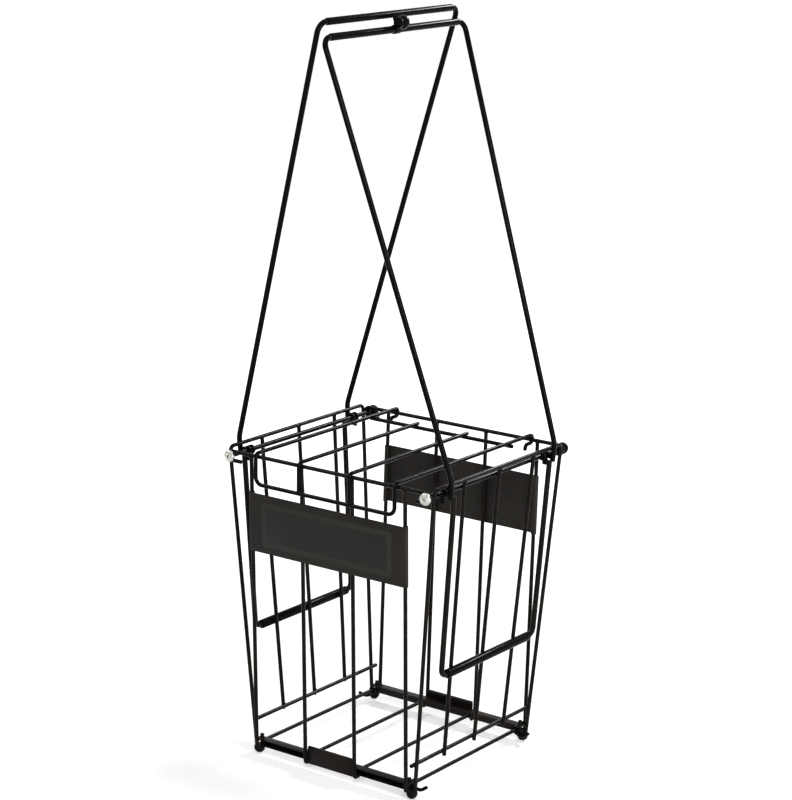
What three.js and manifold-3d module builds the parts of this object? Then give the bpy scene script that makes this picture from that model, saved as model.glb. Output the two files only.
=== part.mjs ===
// Tennis ball hopper: a wire basket with a hinged wire lid, rolling floor bars and
// two tall handles that stand over the basket to carry it and fold down as legs.
// Millimetres, +Z up, +X right, front wall at -Y, origin on the floor under the middle.
import * as THREE from "three";
import { mergeVertices } from "three/addons/utils/BufferGeometryUtils.js";
import Module from "manifold-3d";

const wasm = await Module();
wasm.setup();

// Stock
const wireRadius = 2;
const handleWireRadius = 2.75;
const rodRadius = 2.5;
const barRadius = 2;
const clawWireRadius = 1.7;
const channelSheet = 0.8;
const clipSheet = 1.2;
const labelSheet = 0.8;
const gripSleeveRadius = 3.75;
const bailSleeveRadius = 4.75;

// Clearances
const seatGap = 0.3;
const pivotClearance = 0.03;
const weldBite = 0.6;
const cutOverrun = 1;

// Floor and basket envelope
const footRadius = 5.8;
const footToBar = 7.6;
const basketHeight = 311;
const barPitch = 64;
const barCount = 4;
const barToSide = 7.9;
const sideTaper = 24.9;
const frontTopY = 117;
const barHeadRadius = 2.6;
const barHeadThickness = 0.9;
const channelOuterY = 105.8;
const channelDepth = 10.4;
const channelHeight = 7.4;

// Side frames
const sideRailRise = 7.8;
const sideRailBend = 6;
const sideWireTopY = 61.1;
const sideWireFootY = 52.9;
const sideWireRows = 3;
const lowerWireRise = 24;
const lowerWireOverhang = 6;
const sideWireTail = 4;
const hookWidth = 7;
const hookRise = 8;
const hookAxisRise = 5.2;

// Front and back walls
const outerWireInset = 6.5;
const eyeTail = 13;
const wallHookReach = 7;
const wallHookBend = 3;
const outerWireEndRise = 4;

// Middle clip plates on the channels
const clipTopRise = 10.6;
const clipDrop = 6.4;
const clipRollRadius = 2.1;

// Label plates
const labelTopDrop = 33.5;
const labelHeight = 63;
const labelWrapShare = 0.62;

// Lid
const lidInset = 9.4;
const lidHookTail = 9;
const lidTailDrop = 5.5;
const lidFlapDrop = 27.8;
const lidFlapBend = 8;
const lidCrossY = 78;
const lidCrossOverhang = 4;
const lidMiddleOverhang = 4;
const lidHookClearance = 0.3;
const lidFlapGap = 0.5;

// Handles
const handlePivotHalf = 91;
const leftGripFlare = 24.4;
const rightGripFlare = 26.6;
const handleBendRise = 13;
const handleBend = 26;
const gripBend = 10;
const leftGripRise = 449.2;
const rightGripRise = 434.9;
const leftGripShift = 14.5;
const rightGripShift = 8.1;
const heelDrop = 5;
const gripSleeveEnd = 2;

// Lugs that carry the handles and bails on the pivot rods
const lugRadius = 5;
const lugThickness = 2.4;
const lugNeckWidth = 6;
const stopWidth = 5;
const stopReach = 10.5;
const stopShift = 0.2;

// Bails
const bailWireGap = 0.4;
const bailTopDrop = 4;
const bailLugDrop = 8;
const bailNeckWidth = 5;
const bailDrop = 194;
const bailTuck = 2.6;
const bailBend = 8;
const bailSleeveEnd = 1;

// Pivot screws and ball nuts
const screwHeadRadius = 6.2;
const screwHeadHeight = 3.4;
const screwHeadRound = 1.4;
const screwShankRadius = 1.5;
const screwShankLength = 8;
const recessLength = 6.4;
const recessWidth = 1.5;
const recessDepth = 1.6;
const nutRadius = 6.3;
const nutCentreSetback = 4.9;
const nutBoreDepth = 5.6;

// Grip latch
const latchBallRadius = 7.25;
const latchSide = 8;
const latchRise = 7.5;
const latchCollarRadius = 5.3;
const latchCollarWidth = 9;
const latchStubRadius = 2.4;
const latchShoulderRadius = 5.6;
const latchShoulderReach = 8.2;

// Bar claws
const clawCollarRadius = 4.3;
const clawReach = 16;
const clawDip = 5.6;
const clawBend = 4;
const innerClawTurnShare = 0.17;

// Facets
const wireSides = 8;
const roundSides = 16;
const bendSteps = 4;

const barZ = footRadius + footToBar;
const rodZ = barZ + basketHeight;
const railOffset = rodRadius + seatGap + wireRadius;
const railZ = rodZ + railOffset;
const sideFootX = ((barCount - 1) / 2) * barPitch + barToSide;
const sideTopX = sideFootX + sideTaper;
const rodX = sideTopX - railOffset;
const outerWireX = sideFootX - outerWireInset;
const innerWireX = barPitch / 2;
const labelLowRise = basketHeight - labelTopDrop - labelHeight;
const lidHalfWidth = outerWireX - lidInset;
const lidCrossHalf = lidHalfWidth + lidCrossOverhang;
const bailPivotHalf = handlePivotHalf - 2 * handleWireRadius - bailWireGap;
const bailFootHalf = bailPivotHalf - bailTuck;
const legTopY = frontTopY - wireRadius - seatGap - wireRadius;
const legFootY = channelOuterY - channelDepth / 2;
const lowerWireHalf = legFootY + lowerWireOverhang;
const wallFootY = channelOuterY + seatGap + wireRadius;
const webY = channelOuterY - channelDepth;
const wallFace = frontTopY + wireRadius;
const lidFlapY = frontTopY + 2 * wireRadius + lidFlapGap;

const atHeight = (z, foot, top) => foot + ((z - barZ) / basketHeight) * (top - foot);
const sideX = (z) => atHeight(z, sideFootX, sideTopX);
const wallY = (z) => atHeight(z, wallFootY, frontTopY);
const legY = (z) => atHeight(z, legFootY, legTopY);
const sideWireY = (z) => atHeight(z, sideWireFootY, sideWireTopY);

// Half the difference between the reach of the ball nuts at the back and of the lid's
// flap at the front, so that the middle of the whole object stands over the origin.
const backReach = wallFace + seatGap + nutCentreSetback + nutRadius;
const middleY = (backReach - lidFlapY - wireRadius) / 2;

// A hole in flats that a shaft of the given radius turns in.
const runningHole = (shaft) => (shaft + pivotClearance) / Math.cos(Math.PI / roundSides);

const vec = (x, y, z) => new THREE.Vector3(x, y, z);

const black = { color: 0x17171a, roughness: 0.35, metalness: 0.3 };
const materials = {
  wire: new THREE.MeshStandardMaterial(black),
  bar: new THREE.MeshStandardMaterial({ ...black, roughness: 0.4 }),
  sheet: new THREE.MeshStandardMaterial({ color: 0x2b2927, roughness: 0.5, metalness: 0.3 }),
  zinc: new THREE.MeshStandardMaterial({ color: 0xc9c9c4, roughness: 0.35, metalness: 0.9 }),
  plastic: new THREE.MeshStandardMaterial({ color: 0x111112, roughness: 0.3, metalness: 0 }),
  rubber: new THREE.MeshStandardMaterial({ color: 0x1c1b1a, roughness: 0.8, metalness: 0 }),
  vinyl: new THREE.MeshStandardMaterial({ color: 0x1b1b1f, roughness: 0.45, metalness: 0 }),
};

// A wire's centre line: straight runs between corner points, each corner rounded to
// its own bend radius. Rings fall on the ends of the runs and along the bends.
class WireLine extends THREE.Curve {
  constructor(corners) {
    super();
    this.stations = [];
    this.tangents = [];
    corners.forEach(({ at, bend = 0 }, i) => {
      const before = corners[i - 1]?.at;
      const after = corners[i + 1]?.at;
      if (before && after && bend > 0) this.addBend(before, at, after, bend);
      else this.addStation(at, before ? at.clone().sub(before) : after.clone().sub(at));
    });
  }

  addStation(point, direction) {
    const last = this.stations.at(-1);
    if (last && last.distanceTo(point) < wireRadius / roundSides) return;
    this.stations.push(point);
    this.tangents.push(direction.clone().normalize());
  }

  addBend(before, corner, after, bend) {
    const into = corner.clone().sub(before).normalize();
    const out = after.clone().sub(corner).normalize();
    const turn = into.angleTo(out);
    const setback = bend * Math.tan(turn / 2);
    const start = corner.clone().addScaledVector(into, -setback);
    const side = out.clone().addScaledVector(into, -into.dot(out)).normalize();
    for (let i = 0; i <= bendSteps; i += 1) {
      const angle = (turn * i) / bendSteps;
      const point = start
        .clone()
        .addScaledVector(into, bend * Math.sin(angle))
        .addScaledVector(side, bend * (1 - Math.cos(angle)));
      const tangent = into
        .clone()
        .multiplyScalar(Math.cos(angle))
        .addScaledVector(side, Math.sin(angle));
      this.addStation(point, tangent);
    }
  }

  getUtoTmapping(u) {
    return u;
  }

  getPoint(t) {
    const place = t * (this.stations.length - 1);
    const i = Math.min(Math.floor(place), this.stations.length - 2);
    return this.stations[i].clone().lerp(this.stations[i + 1], place - i);
  }

  getTangent(t) {
    return this.tangents[Math.round(t * (this.stations.length - 1))].clone();
  }
}

function wire(corners, radius = wireRadius, sides = wireSides) {
  const line = new WireLine(corners);
  const section = new THREE.Shape(
    Array.from({ length: sides }, (_, i) => {
      const angle = ((i + 1 / 2) / sides) * Math.PI * 2;
      return new THREE.Vector2(radius * Math.cos(angle), radius * Math.sin(angle));
    }),
  );
  return new THREE.ExtrudeGeometry(section, {
    steps: line.stations.length - 1,
    extrudePath: line,
    bevelEnabled: false,
  });
}

function straightWire(from, to, radius = wireRadius) {
  return wire([{ at: from }, { at: to }], radius);
}

function solid(geometry) {
  const bare = geometry.clone();
  bare.deleteAttribute("normal");
  bare.deleteAttribute("uv");
  const merged = mergeVertices(bare);
  return new wasm.Manifold(
    new wasm.Mesh({
      numProp: 3,
      vertProperties: Float32Array.from(merged.attributes.position.array),
      triVerts: Uint32Array.from(merged.index.array),
    }),
  );
}

function geometryOf(manifold) {
  const mesh = manifold.getMesh();
  const geometry = new THREE.BufferGeometry();
  geometry.setAttribute("position", new THREE.BufferAttribute(mesh.vertProperties, 3));
  geometry.setIndex(new THREE.BufferAttribute(mesh.triVerts, 1));
  geometry.computeVertexNormals();
  return geometry;
}

function joined(added, removed = []) {
  let body = solid(added[0]);
  added.slice(1).forEach((piece) => {
    body = body.add(solid(piece));
  });
  removed.forEach((piece) => {
    body = body.subtract(solid(piece));
  });
  return geometryOf(body);
}

// Round rod along Y between two places.
function rodAlongY(radius, yLow, yHigh, x = 0, z = 0, sides = roundSides) {
  const rod = new THREE.CylinderGeometry(radius, radius, yHigh - yLow, sides);
  return rod.translate(x, (yLow + yHigh) / 2, z);
}

function boxBetween(low, high) {
  const size = high.clone().sub(low);
  const centre = low.clone().add(high).multiplyScalar(1 / 2);
  return new THREE.BoxGeometry(size.x, size.y, size.z).translate(centre.x, centre.y, centre.z);
}

function tubeAlongY(innerRadius, outerRadius, half) {
  const profile = [
    [innerRadius, -half],
    [outerRadius, -half],
    [outerRadius, half],
    [innerRadius, half],
    [innerRadius, -half],
  ].map(([r, y]) => new THREE.Vector2(r, y));
  return new THREE.LatheGeometry(profile, roundSides);
}

const group = new THREE.Group();
group.name = "tennis_ball_hopper";
group.position.y = -middleY;

function place(name, geometry, material, parent = group) {
  const mesh = new THREE.Mesh(geometry, materials[material]);
  mesh.name = name;
  parent.add(mesh);
  return mesh;
}

// Front or back wall, drawn at the front. The top rail ends in hairpin eyes round
// the pivot rods, and the two middle wires hook under the floor channel.
function wallGeometry() {
  const y = -frontTopY;
  const eye = (side) => [
    { at: vec(side * (rodX - eyeTail), y, rodZ - railOffset) },
    { at: vec(side * (rodX + railOffset), y, rodZ - railOffset), bend: railOffset },
    { at: vec(side * (rodX + railOffset), y, railZ), bend: railOffset },
  ];
  const rail = wire([...eye(-1), ...eye(1).reverse()]);
  const endZ = barZ - outerWireEndRise;
  const hookZ = barZ - channelHeight / 2 - seatGap - wireRadius;
  const outer = [-outerWireX, outerWireX].map((x) =>
    straightWire(vec(x, -wallY(railZ), railZ), vec(x, -wallY(endZ), endZ)),
  );
  const inner = [-innerWireX, innerWireX].map((x) =>
    wire([
      { at: vec(x, -wallY(railZ), railZ) },
      { at: vec(x, -wallY(hookZ), hookZ), bend: wallHookBend },
      { at: vec(x, -wallY(hookZ) + wallHookReach, hookZ) },
    ]),
  );
  return joined([rail, ...outer, ...inner]);
}

// Right side frame: one hoop whose feet turn in and up as hooks, three upright wires
// in the same leaning plane and a lower wire welded across them on the inside.
function sideFrameGeometry() {
  const topZ = rodZ + sideRailRise;
  const tipX = sideX(hookAxisRise) - hookWidth;
  const tipZ = barZ + hookRise;
  const foot = (side) => [
    { at: vec(tipX, side * legFootY, tipZ) },
    { at: vec(tipX, side * legFootY, hookAxisRise), bend: hookWidth / 2 },
    { at: vec(sideX(hookAxisRise), side * legFootY, hookAxisRise), bend: hookWidth / 2 },
    { at: vec(sideX(topZ), side * legY(topZ), topZ), bend: sideRailBend },
  ];
  const hoop = wire([...foot(-1), ...foot(1).reverse()]);
  const lowerZ = barZ + lowerWireRise;
  const endZ = lowerZ - sideWireTail;
  const uprights = Array.from({ length: sideWireRows }, (_, i) => {
    const share = i - (sideWireRows - 1) / 2;
    return straightWire(
      vec(sideX(topZ), share * sideWireY(topZ), topZ),
      vec(sideX(endZ), share * sideWireY(endZ), endZ),
    );
  });
  const lowerX = sideX(lowerZ) - 2 * wireRadius + weldBite;
  const lower = straightWire(vec(lowerX, -lowerWireHalf, lowerZ), vec(lowerX, lowerWireHalf, lowerZ));
  return joined([hoop, ...uprights, lower]);
}

// Floor channel, drawn at the front and open to the outside. Its web has a hole for
// each floor bar, and its flanges let the tips of the side frames' hooks through.
function channelGeometry() {
  const end = sideX(barZ) - wireRadius - seatGap - seatGap;
  const low = barZ - channelHeight / 2;
  const high = barZ + channelHeight / 2;
  const blank = boxBetween(vec(-end, -channelOuterY, low), vec(end, -webY, high));
  const groove = boxBetween(
    vec(-end - cutOverrun, -channelOuterY - cutOverrun, low + channelSheet),
    vec(end + cutOverrun, -webY - channelSheet, high - channelSheet),
  );
  const barHoles = barPlaces().map((x) =>
    rodAlongY(
      runningHole(barRadius),
      -webY - channelSheet - cutOverrun,
      -webY + cutOverrun,
      x,
      barZ,
    ),
  );
  const tipX = sideX(hookAxisRise) - hookWidth;
  const tipHoles = [-tipX, tipX].map((x) =>
    new THREE.CylinderGeometry(
      wireRadius + seatGap,
      wireRadius + seatGap,
      channelHeight + 2 * cutOverrun,
      roundSides,
    )
      .rotateX(Math.PI / 2)
      .translate(x, -legFootY, barZ),
  );
  return joined([blank], [groove, ...barHoles, ...tipHoles]);
}

function barPlaces() {
  return Array.from({ length: barCount }, (_, i) => (i - (barCount - 1) / 2) * barPitch);
}

// Floor bar along Y with a head inside each channel.
function barGeometry() {
  const shoulder = webY + channelSheet + seatGap;
  const end = shoulder + barHeadThickness;
  const profile = [
    [0, -end],
    [barHeadRadius, -end],
    [barHeadRadius, -shoulder],
    [barRadius, -shoulder],
    [barRadius, shoulder],
    [barHeadRadius, shoulder],
    [barHeadRadius, end],
    [0, end],
  ].map(([r, y]) => new THREE.Vector2(r, y));
  return new THREE.LatheGeometry(profile, roundSides);
}

// Clip plate over the middle of the front channel, with its top edge rolled.
function clipPlateGeometry() {
  const half = innerWireX - wireRadius - seatGap;
  const back = -channelOuterY - seatGap;
  const front = back - clipSheet;
  const rollY = front + clipRollRadius;
  const rollZ = barZ + clipTopRise;
  const sheet = boxBetween(vec(-half, front, barZ - clipDrop), vec(half, back, rollZ));
  const roll = new THREE.CylinderGeometry(clipRollRadius, clipRollRadius, 2 * half, roundSides)
    .rotateZ(Math.PI / 2)
    .translate(0, rollY, rollZ);
  return joined([sheet, roll]);
}

// Label plate on the front wall's outer face, its side edges rolled round the outer
// wires. The outline lies across the wires and is extruded along them.
function labelPlateGeometry() {
  const lowZ = barZ + labelLowRise;
  const lean = Math.atan((frontTopY - wallFootY) / basketHeight);
  const inner = wireRadius + seatGap;
  const outer = inner + labelSheet;
  const wrapEnd = -Math.PI / 2 + Math.PI * 2 * labelWrapShare;
  const outline = new THREE.Shape();
  outline.moveTo(-outerWireX, -outer);
  outline.lineTo(outerWireX, -outer);
  outline.absarc(outerWireX, 0, outer, -Math.PI / 2, wrapEnd, false);
  outline.absarc(outerWireX, 0, inner, wrapEnd, -Math.PI / 2, true);
  outline.lineTo(-outerWireX, -inner);
  outline.absarc(-outerWireX, 0, inner, -Math.PI / 2, Math.PI - wrapEnd, true);
  outline.absarc(-outerWireX, 0, outer, Math.PI - wrapEnd, -Math.PI / 2, false);
  return new THREE.ExtrudeGeometry(outline, {
    depth: labelHeight,
    curveSegments: bendSteps * 2,
    bevelEnabled: false,
  })
    .rotateX(lean)
    .translate(0, -wallY(lowZ), lowZ);
}

// Pivot rod, bored at the front for its screw.
function pivotRodGeometry() {
  const boreRadius = screwShankRadius + seatGap;
  const bored = -wallFace + screwShankLength + seatGap;
  const back = wallFace + nutBoreDepth;
  const profile = [
    [0, bored],
    [boreRadius, bored],
    [boreRadius, -wallFace],
    [rodRadius, -wallFace],
    [rodRadius, back],
    [0, back],
  ].map(([r, y]) => new THREE.Vector2(r, y));
  return new THREE.LatheGeometry(profile, roundSides);
}

// Pan-head screw at the front end of a pivot rod, with a cross recess.
function screwGeometry() {
  const seat = -wallFace - seatGap;
  const face = seat - screwHeadHeight;
  const round = Array.from({ length: bendSteps + 1 }, (_, i) => {
    const angle = (i / bendSteps) * (Math.PI / 2);
    return [
      screwHeadRadius - screwHeadRound * (1 - Math.sin(angle)),
      face + screwHeadRound * (1 - Math.cos(angle)),
    ];
  });
  const profile = [
    [0, face],
    ...round,
    [screwHeadRadius, seat],
    [screwShankRadius, seat],
    [screwShankRadius, seat + screwShankLength],
    [0, seat + screwShankLength],
  ].map(([r, y]) => new THREE.Vector2(r, y));
  const head = new THREE.LatheGeometry(profile, roundSides);
  const slot = (turn) =>
    boxBetween(
      vec(-recessLength / 2, face - cutOverrun, -recessWidth / 2),
      vec(recessLength / 2, face + recessDepth, recessWidth / 2),
    ).rotateY(turn);
  return joined([head], [slot(Math.PI / 4), slot(-Math.PI / 4)]);
}

// Ball nut on the back end of a pivot rod, flat where it meets the wall's eye.
function ballNutGeometry() {
  const seat = wallFace + seatGap;
  const centre = seat + nutCentreSetback;
  const ball = new THREE.SphereGeometry(nutRadius, roundSides, roundSides / 2).translate(0, centre, 0);
  const spare = 2 * nutRadius;
  const flat = boxBetween(vec(-spare, seat - spare, -spare), vec(spare, seat, spare));
  const bore = rodAlongY(rodRadius + seatGap, seat - cutOverrun, wallFace + nutBoreDepth + seatGap);
  return joined([ball], [flat, bore]);
}

// Rubber foot moulded round the bottom of a hook, flat on top under the channel.
function footGeometry() {
  const tipX = sideX(hookAxisRise) - hookWidth;
  const centreX = (tipX + sideX(hookAxisRise)) / 2;
  const topZ = barZ - channelHeight / 2 - seatGap;
  const spare = 2 * footRadius;
  const ball = new THREE.SphereGeometry(footRadius, roundSides, roundSides / 2)
    .rotateX(Math.PI / 2)
    .translate(centreX, -legFootY, footRadius);
  const above = boxBetween(
    vec(centreX - spare, -legFootY - spare, topZ),
    vec(centreX + spare, -legFootY + spare, topZ + spare),
  );
  const upperZ = barZ + hookRise;
  const tunnel = wire(
    [
      { at: vec(tipX, -legFootY, upperZ) },
      { at: vec(tipX, -legFootY, hookAxisRise), bend: hookWidth / 2 },
      { at: vec(sideX(hookAxisRise), -legFootY, hookAxisRise), bend: hookWidth / 2 },
      { at: vec(sideX(upperZ), -legY(upperZ), upperZ) },
    ],
    wireRadius + seatGap,
  );
  return joined([ball], [above, tunnel]);
}

// Claw on the front end of an outer floor bar: a collar round the bar with a hooked
// tail that points outboard, or is turned by a share of a full turn along the bar.
function clawGeometry(side, turnShare = 0) {
  const x = side * barPlaces().at(-1);
  const y = -(legFootY - footRadius - seatGap - clawWireRadius);
  const collar = rodAlongY(clawCollarRadius, y - clawWireRadius, y + clawWireRadius, x, barZ);
  const bore = rodAlongY(
    runningHole(barRadius),
    y - clawWireRadius - cutOverrun,
    y + clawWireRadius + cutOverrun,
    x,
    barZ,
  );
  const rootZ = barZ - clawCollarRadius + weldBite;
  const turn = Math.PI * 2 * turnShare;
  const out = side * Math.cos(turn);
  const along = Math.sin(turn);
  const tailAt = (reach, rise) => vec(x + out * reach, y + along * reach, rootZ + rise);
  const tail = wire(
    [
      { at: tailAt(0, 0) },
      { at: tailAt(clawReach / 2, -clawDip / 2), bend: clawBend * 2 },
      { at: tailAt(clawReach, clawDip / 2) },
    ],
    clawWireRadius,
  );
  return joined([collar, tail], [bore]);
}

// Lid: one outer wire that hooks round the back rail, runs over the top, turns down
// in front of the wall as a flap and comes back, with two middle wires and a cross wire.
function lidGeometry() {
  const hookRadius = 2 * wireRadius + lidHookClearance;
  const topZ = railZ + hookRadius;
  const frontBend = lidFlapY - frontTopY;
  const frontY = -lidFlapY;
  const flapZ = topZ - lidFlapDrop - hookRadius;
  const arm = (side) => [
    { at: vec(side * lidHalfWidth, frontTopY - lidHookTail, railZ - hookRadius - lidTailDrop) },
    { at: vec(side * lidHalfWidth, frontTopY - lidHookTail, railZ - hookRadius), bend: hookRadius },
    { at: vec(side * lidHalfWidth, frontTopY + hookRadius, railZ - hookRadius), bend: hookRadius },
    { at: vec(side * lidHalfWidth, frontTopY + hookRadius, topZ), bend: hookRadius },
    { at: vec(side * lidHalfWidth, frontY, topZ), bend: frontBend },
    { at: vec(side * lidHalfWidth, frontY, flapZ), bend: lidFlapBend },
  ];
  const outer = wire([...arm(-1), ...arm(1).reverse()]);
  const middle = [-innerWireX, innerWireX].map((x) =>
    wire([
      { at: vec(x, lidCrossY + lidMiddleOverhang, topZ) },
      { at: vec(x, frontY, topZ), bend: frontBend },
      { at: vec(x, frontY, flapZ) },
    ]),
  );
  const crossZ = topZ - 2 * wireRadius + weldBite;
  const cross = straightWire(vec(-lidCrossHalf, lidCrossY, crossZ), vec(lidCrossHalf, lidCrossY, crossZ));
  return joined([outer, ...middle, cross]);
}

// Places measured from a pivot rod's axis, outboard to the right: the handle legs
// stand just outside the side frame's rail and lean with the wall up to their bend.
const wallLean = (sideTopX - sideFootX) / basketHeight;
const legOffset =
  sideX(rodZ + sideRailRise) +
  wireRadius +
  seatGap +
  handleWireRadius -
  rodX -
  wallLean * sideRailRise;
const handleY = (rise, gripRise, gripFlare) => handlePivotHalf + (rise / gripRise) * gripFlare;

function lug(x, y, reachX, reachZ, neckWidth) {
  const ring = rodAlongY(lugRadius, y - lugThickness / 2, y + lugThickness / 2, x, rodZ);
  const length = Math.hypot(reachX, reachZ);
  const neck = boxBetween(
    vec(0, -lugThickness / 2, -neckWidth / 2),
    vec(length, lugThickness / 2, neckWidth / 2),
  )
    .rotateY(-Math.atan2(reachZ, reachX))
    .translate(x, y, rodZ);
  return [ring, neck];
}

function lugBore(x, y) {
  return rodAlongY(
    runningHole(rodRadius),
    y - lugThickness / 2 - cutOverrun,
    y + lugThickness / 2 + cutOverrun,
    x,
    rodZ,
  );
}

// Right handle: one bent wire from lug to lug over the grip. Each lug turns on the
// pivot rod and has a tab that meets the side frame's rail when the handle is a leg.
function handleGeometry(gripX, gripRise, gripFlare) {
  const leg = (side) => [
    {
      at: vec(
        rodX + legOffset - wallLean * heelDrop,
        side * handleY(-heelDrop, gripRise, gripFlare),
        rodZ - heelDrop,
      ),
    },
    {
      at: vec(
        rodX + legOffset + wallLean * handleBendRise,
        side * handleY(handleBendRise, gripRise, gripFlare),
        rodZ + handleBendRise,
      ),
      bend: handleBend,
    },
    {
      at: vec(gripX, side * handleY(gripRise, gripRise, gripFlare), rodZ + gripRise),
      bend: gripBend,
    },
  ];
  const loop = wire([...leg(-1), ...leg(1).reverse()], handleWireRadius);
  const ends = [-handlePivotHalf, handlePivotHalf];
  const lugs = ends.flatMap((y) => lug(rodX, y, legOffset, 0, lugNeckWidth));
  const stops = ends.map((y) =>
    boxBetween(
      vec(rodX - stopWidth / 2 - stopShift, y - lugThickness / 2, rodZ - stopReach),
      vec(rodX + stopWidth / 2 - stopShift, y + lugThickness / 2, rodZ),
    ),
  );
  return joined(
    [loop, ...lugs, ...stops],
    ends.map((y) => lugBore(rodX, y)),
  );
}

function gripSleeveGeometry(gripX, gripRise, gripFlare) {
  const half = handlePivotHalf + gripFlare - gripBend - gripSleeveEnd;
  return tubeAlongY(handleWireRadius + seatGap, gripSleeveRadius, half).translate(
    gripX,
    0,
    rodZ + gripRise,
  );
}

// Right bail: a short loop in line below the handle's legs. Its cross bar lies on the
// outside of the side wall, and it swings out to lift the basket when it stands.
const bailFootX =
  sideX(rodZ - bailDrop) + wireRadius + seatGap + bailSleeveRadius;
const bailX = (drop) =>
  rodX + legOffset + (drop / bailDrop) * (bailFootX - rodX - legOffset);
const bailY = (drop) =>
  bailPivotHalf + (drop / bailDrop) * (bailFootHalf - bailPivotHalf);

function bailGeometry() {
  const arm = (side) => [
    { at: vec(bailX(bailTopDrop), side * bailY(bailTopDrop), rodZ - bailTopDrop) },
    { at: vec(bailFootX, side * bailFootHalf, rodZ - bailDrop), bend: bailBend },
  ];
  const loop = wire([...arm(-1), ...arm(1).reverse()], handleWireRadius);
  const ends = [-bailPivotHalf, bailPivotHalf];
  const lugs = ends.flatMap((y) =>
    lug(rodX, y, bailX(bailLugDrop) - rodX, -bailLugDrop, bailNeckWidth),
  );
  return joined(
    [loop, ...lugs],
    ends.map((y) => lugBore(rodX, y)),
  );
}

function bailSleeveGeometry() {
  const half = bailFootHalf - bailBend - bailSleeveEnd;
  return tubeAlongY(handleWireRadius + seatGap, bailSleeveRadius, half).translate(
    bailFootX,
    0,
    rodZ - bailDrop,
  );
}

// Latch: a collar that turns on the lower grip, with a shouldered ball beside both
// grips and a short stub that leans on the upper one.
function latchGeometry() {
  const gripZ = rodZ + rightGripRise;
  const gripX = -rightGripShift;
  const ballX = gripX + latchSide;
  const ballZ = gripZ + latchRise;
  const ball = new THREE.SphereGeometry(latchBallRadius, roundSides, roundSides / 2).translate(
    ballX,
    0,
    ballZ,
  );
  const collar = rodAlongY(
    latchCollarRadius,
    -latchCollarWidth / 2,
    latchCollarWidth / 2,
    gripX,
    gripZ,
  );
  const shoulder = rodAlongY(latchShoulderRadius, -latchShoulderReach, 0, ballX, ballZ);
  const stubStart = -leftGripShift + gripSleeveRadius + seatGap;
  const stub = boxBetween(
    vec(stubStart, -latchStubRadius, ballZ + latchStubRadius / 2),
    vec(ballX, latchStubRadius, ballZ + latchStubRadius * 2),
  );
  const bore = rodAlongY(gripSleeveRadius + seatGap, -latchCollarWidth, latchCollarWidth, gripX, gripZ);
  return joined([ball, collar, shoulder, stub], [bore]);
}

// Mirror images across the middle planes, with the triangles turned to face out.
function mirrored(geometry, x, y) {
  const flipped = geometry.clone().scale(x, y, 1);
  const flat = flipped.index ? flipped.toNonIndexed() : flipped;
  if (x * y < 0) {
    const position = flat.attributes.position;
    for (let i = 0; i < position.count; i += 3) {
      const a = new THREE.Vector3().fromBufferAttribute(position, i + 1);
      const b = new THREE.Vector3().fromBufferAttribute(position, i + 2);
      position.setXYZ(i + 1, b.x, b.y, b.z);
      position.setXYZ(i + 2, a.x, a.y, a.z);
    }
  }
  flat.computeVertexNormals();
  return flat;
}

const ends = { front: 1, back: -1 };
const sides = { left: -1, right: 1 };

Object.entries(ends).forEach(([end, y]) => {
  place(`${end}_wall_frame`, mirrored(wallGeometry(), 1, y), "wire");
  place(`${end}_floor_channel`, mirrored(channelGeometry(), 1, y), "sheet");
  place(`${end}_clip_plate`, mirrored(clipPlateGeometry(), 1, y), "sheet");
  place(`${end}_label_plate`, mirrored(labelPlateGeometry(), 1, y), "sheet");
});

Object.entries(sides).forEach(([side, x]) => {
  place(`${side}_side_frame`, mirrored(sideFrameGeometry(), x, 1), "wire");
  place(`${side}_pivot_rod`, pivotRodGeometry(), "wire").position.set(x * rodX, 0, rodZ);
  place(`${side}_pivot_screw`, screwGeometry(), "zinc").position.set(x * rodX, 0, rodZ);
  place(`${side}_ball_nut`, ballNutGeometry(), "plastic").position.set(x * rodX, 0, rodZ);
  Object.entries(ends).forEach(([end, y]) => {
    place(`${end}_${side}_foot`, mirrored(footGeometry(), x, y), "rubber");
  });
});

barPlaces().forEach((x, i) => {
  place(`floor_bar_${i + 1}`, barGeometry(), "bar").position.set(x, 0, barZ);
});

place("front_right_bar_claw", clawGeometry(1), "wire");
place("back_right_bar_claw", mirrored(clawGeometry(1), 1, -1), "wire");
place("back_left_bar_claw", mirrored(clawGeometry(-1, innerClawTurnShare), 1, -1), "wire");

place("lid_frame", lidGeometry(), "wire");

// Each grip's place in a drawing of the right handle. Both lean to the left.
const grips = {
  left: [leftGripShift, leftGripRise, leftGripFlare],
  right: [-rightGripShift, rightGripRise, rightGripFlare],
};
Object.entries(sides).forEach(([side, x]) => {
  place(`${side}_handle_frame`, mirrored(handleGeometry(...grips[side]), x, 1), "wire");
  place(`${side}_grip_sleeve`, mirrored(gripSleeveGeometry(...grips[side]), x, 1), "vinyl");
  place(`${side}_bail_frame`, mirrored(bailGeometry(), x, 1), "wire");
  place(`${side}_bail_sleeve`, mirrored(bailSleeveGeometry(), x, 1), "vinyl");
});

place("grip_latch", latchGeometry(), "plastic");

export default group;
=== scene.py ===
import math

import bmesh
import bpy
from mathutils import Euler, Matrix, Vector


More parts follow.
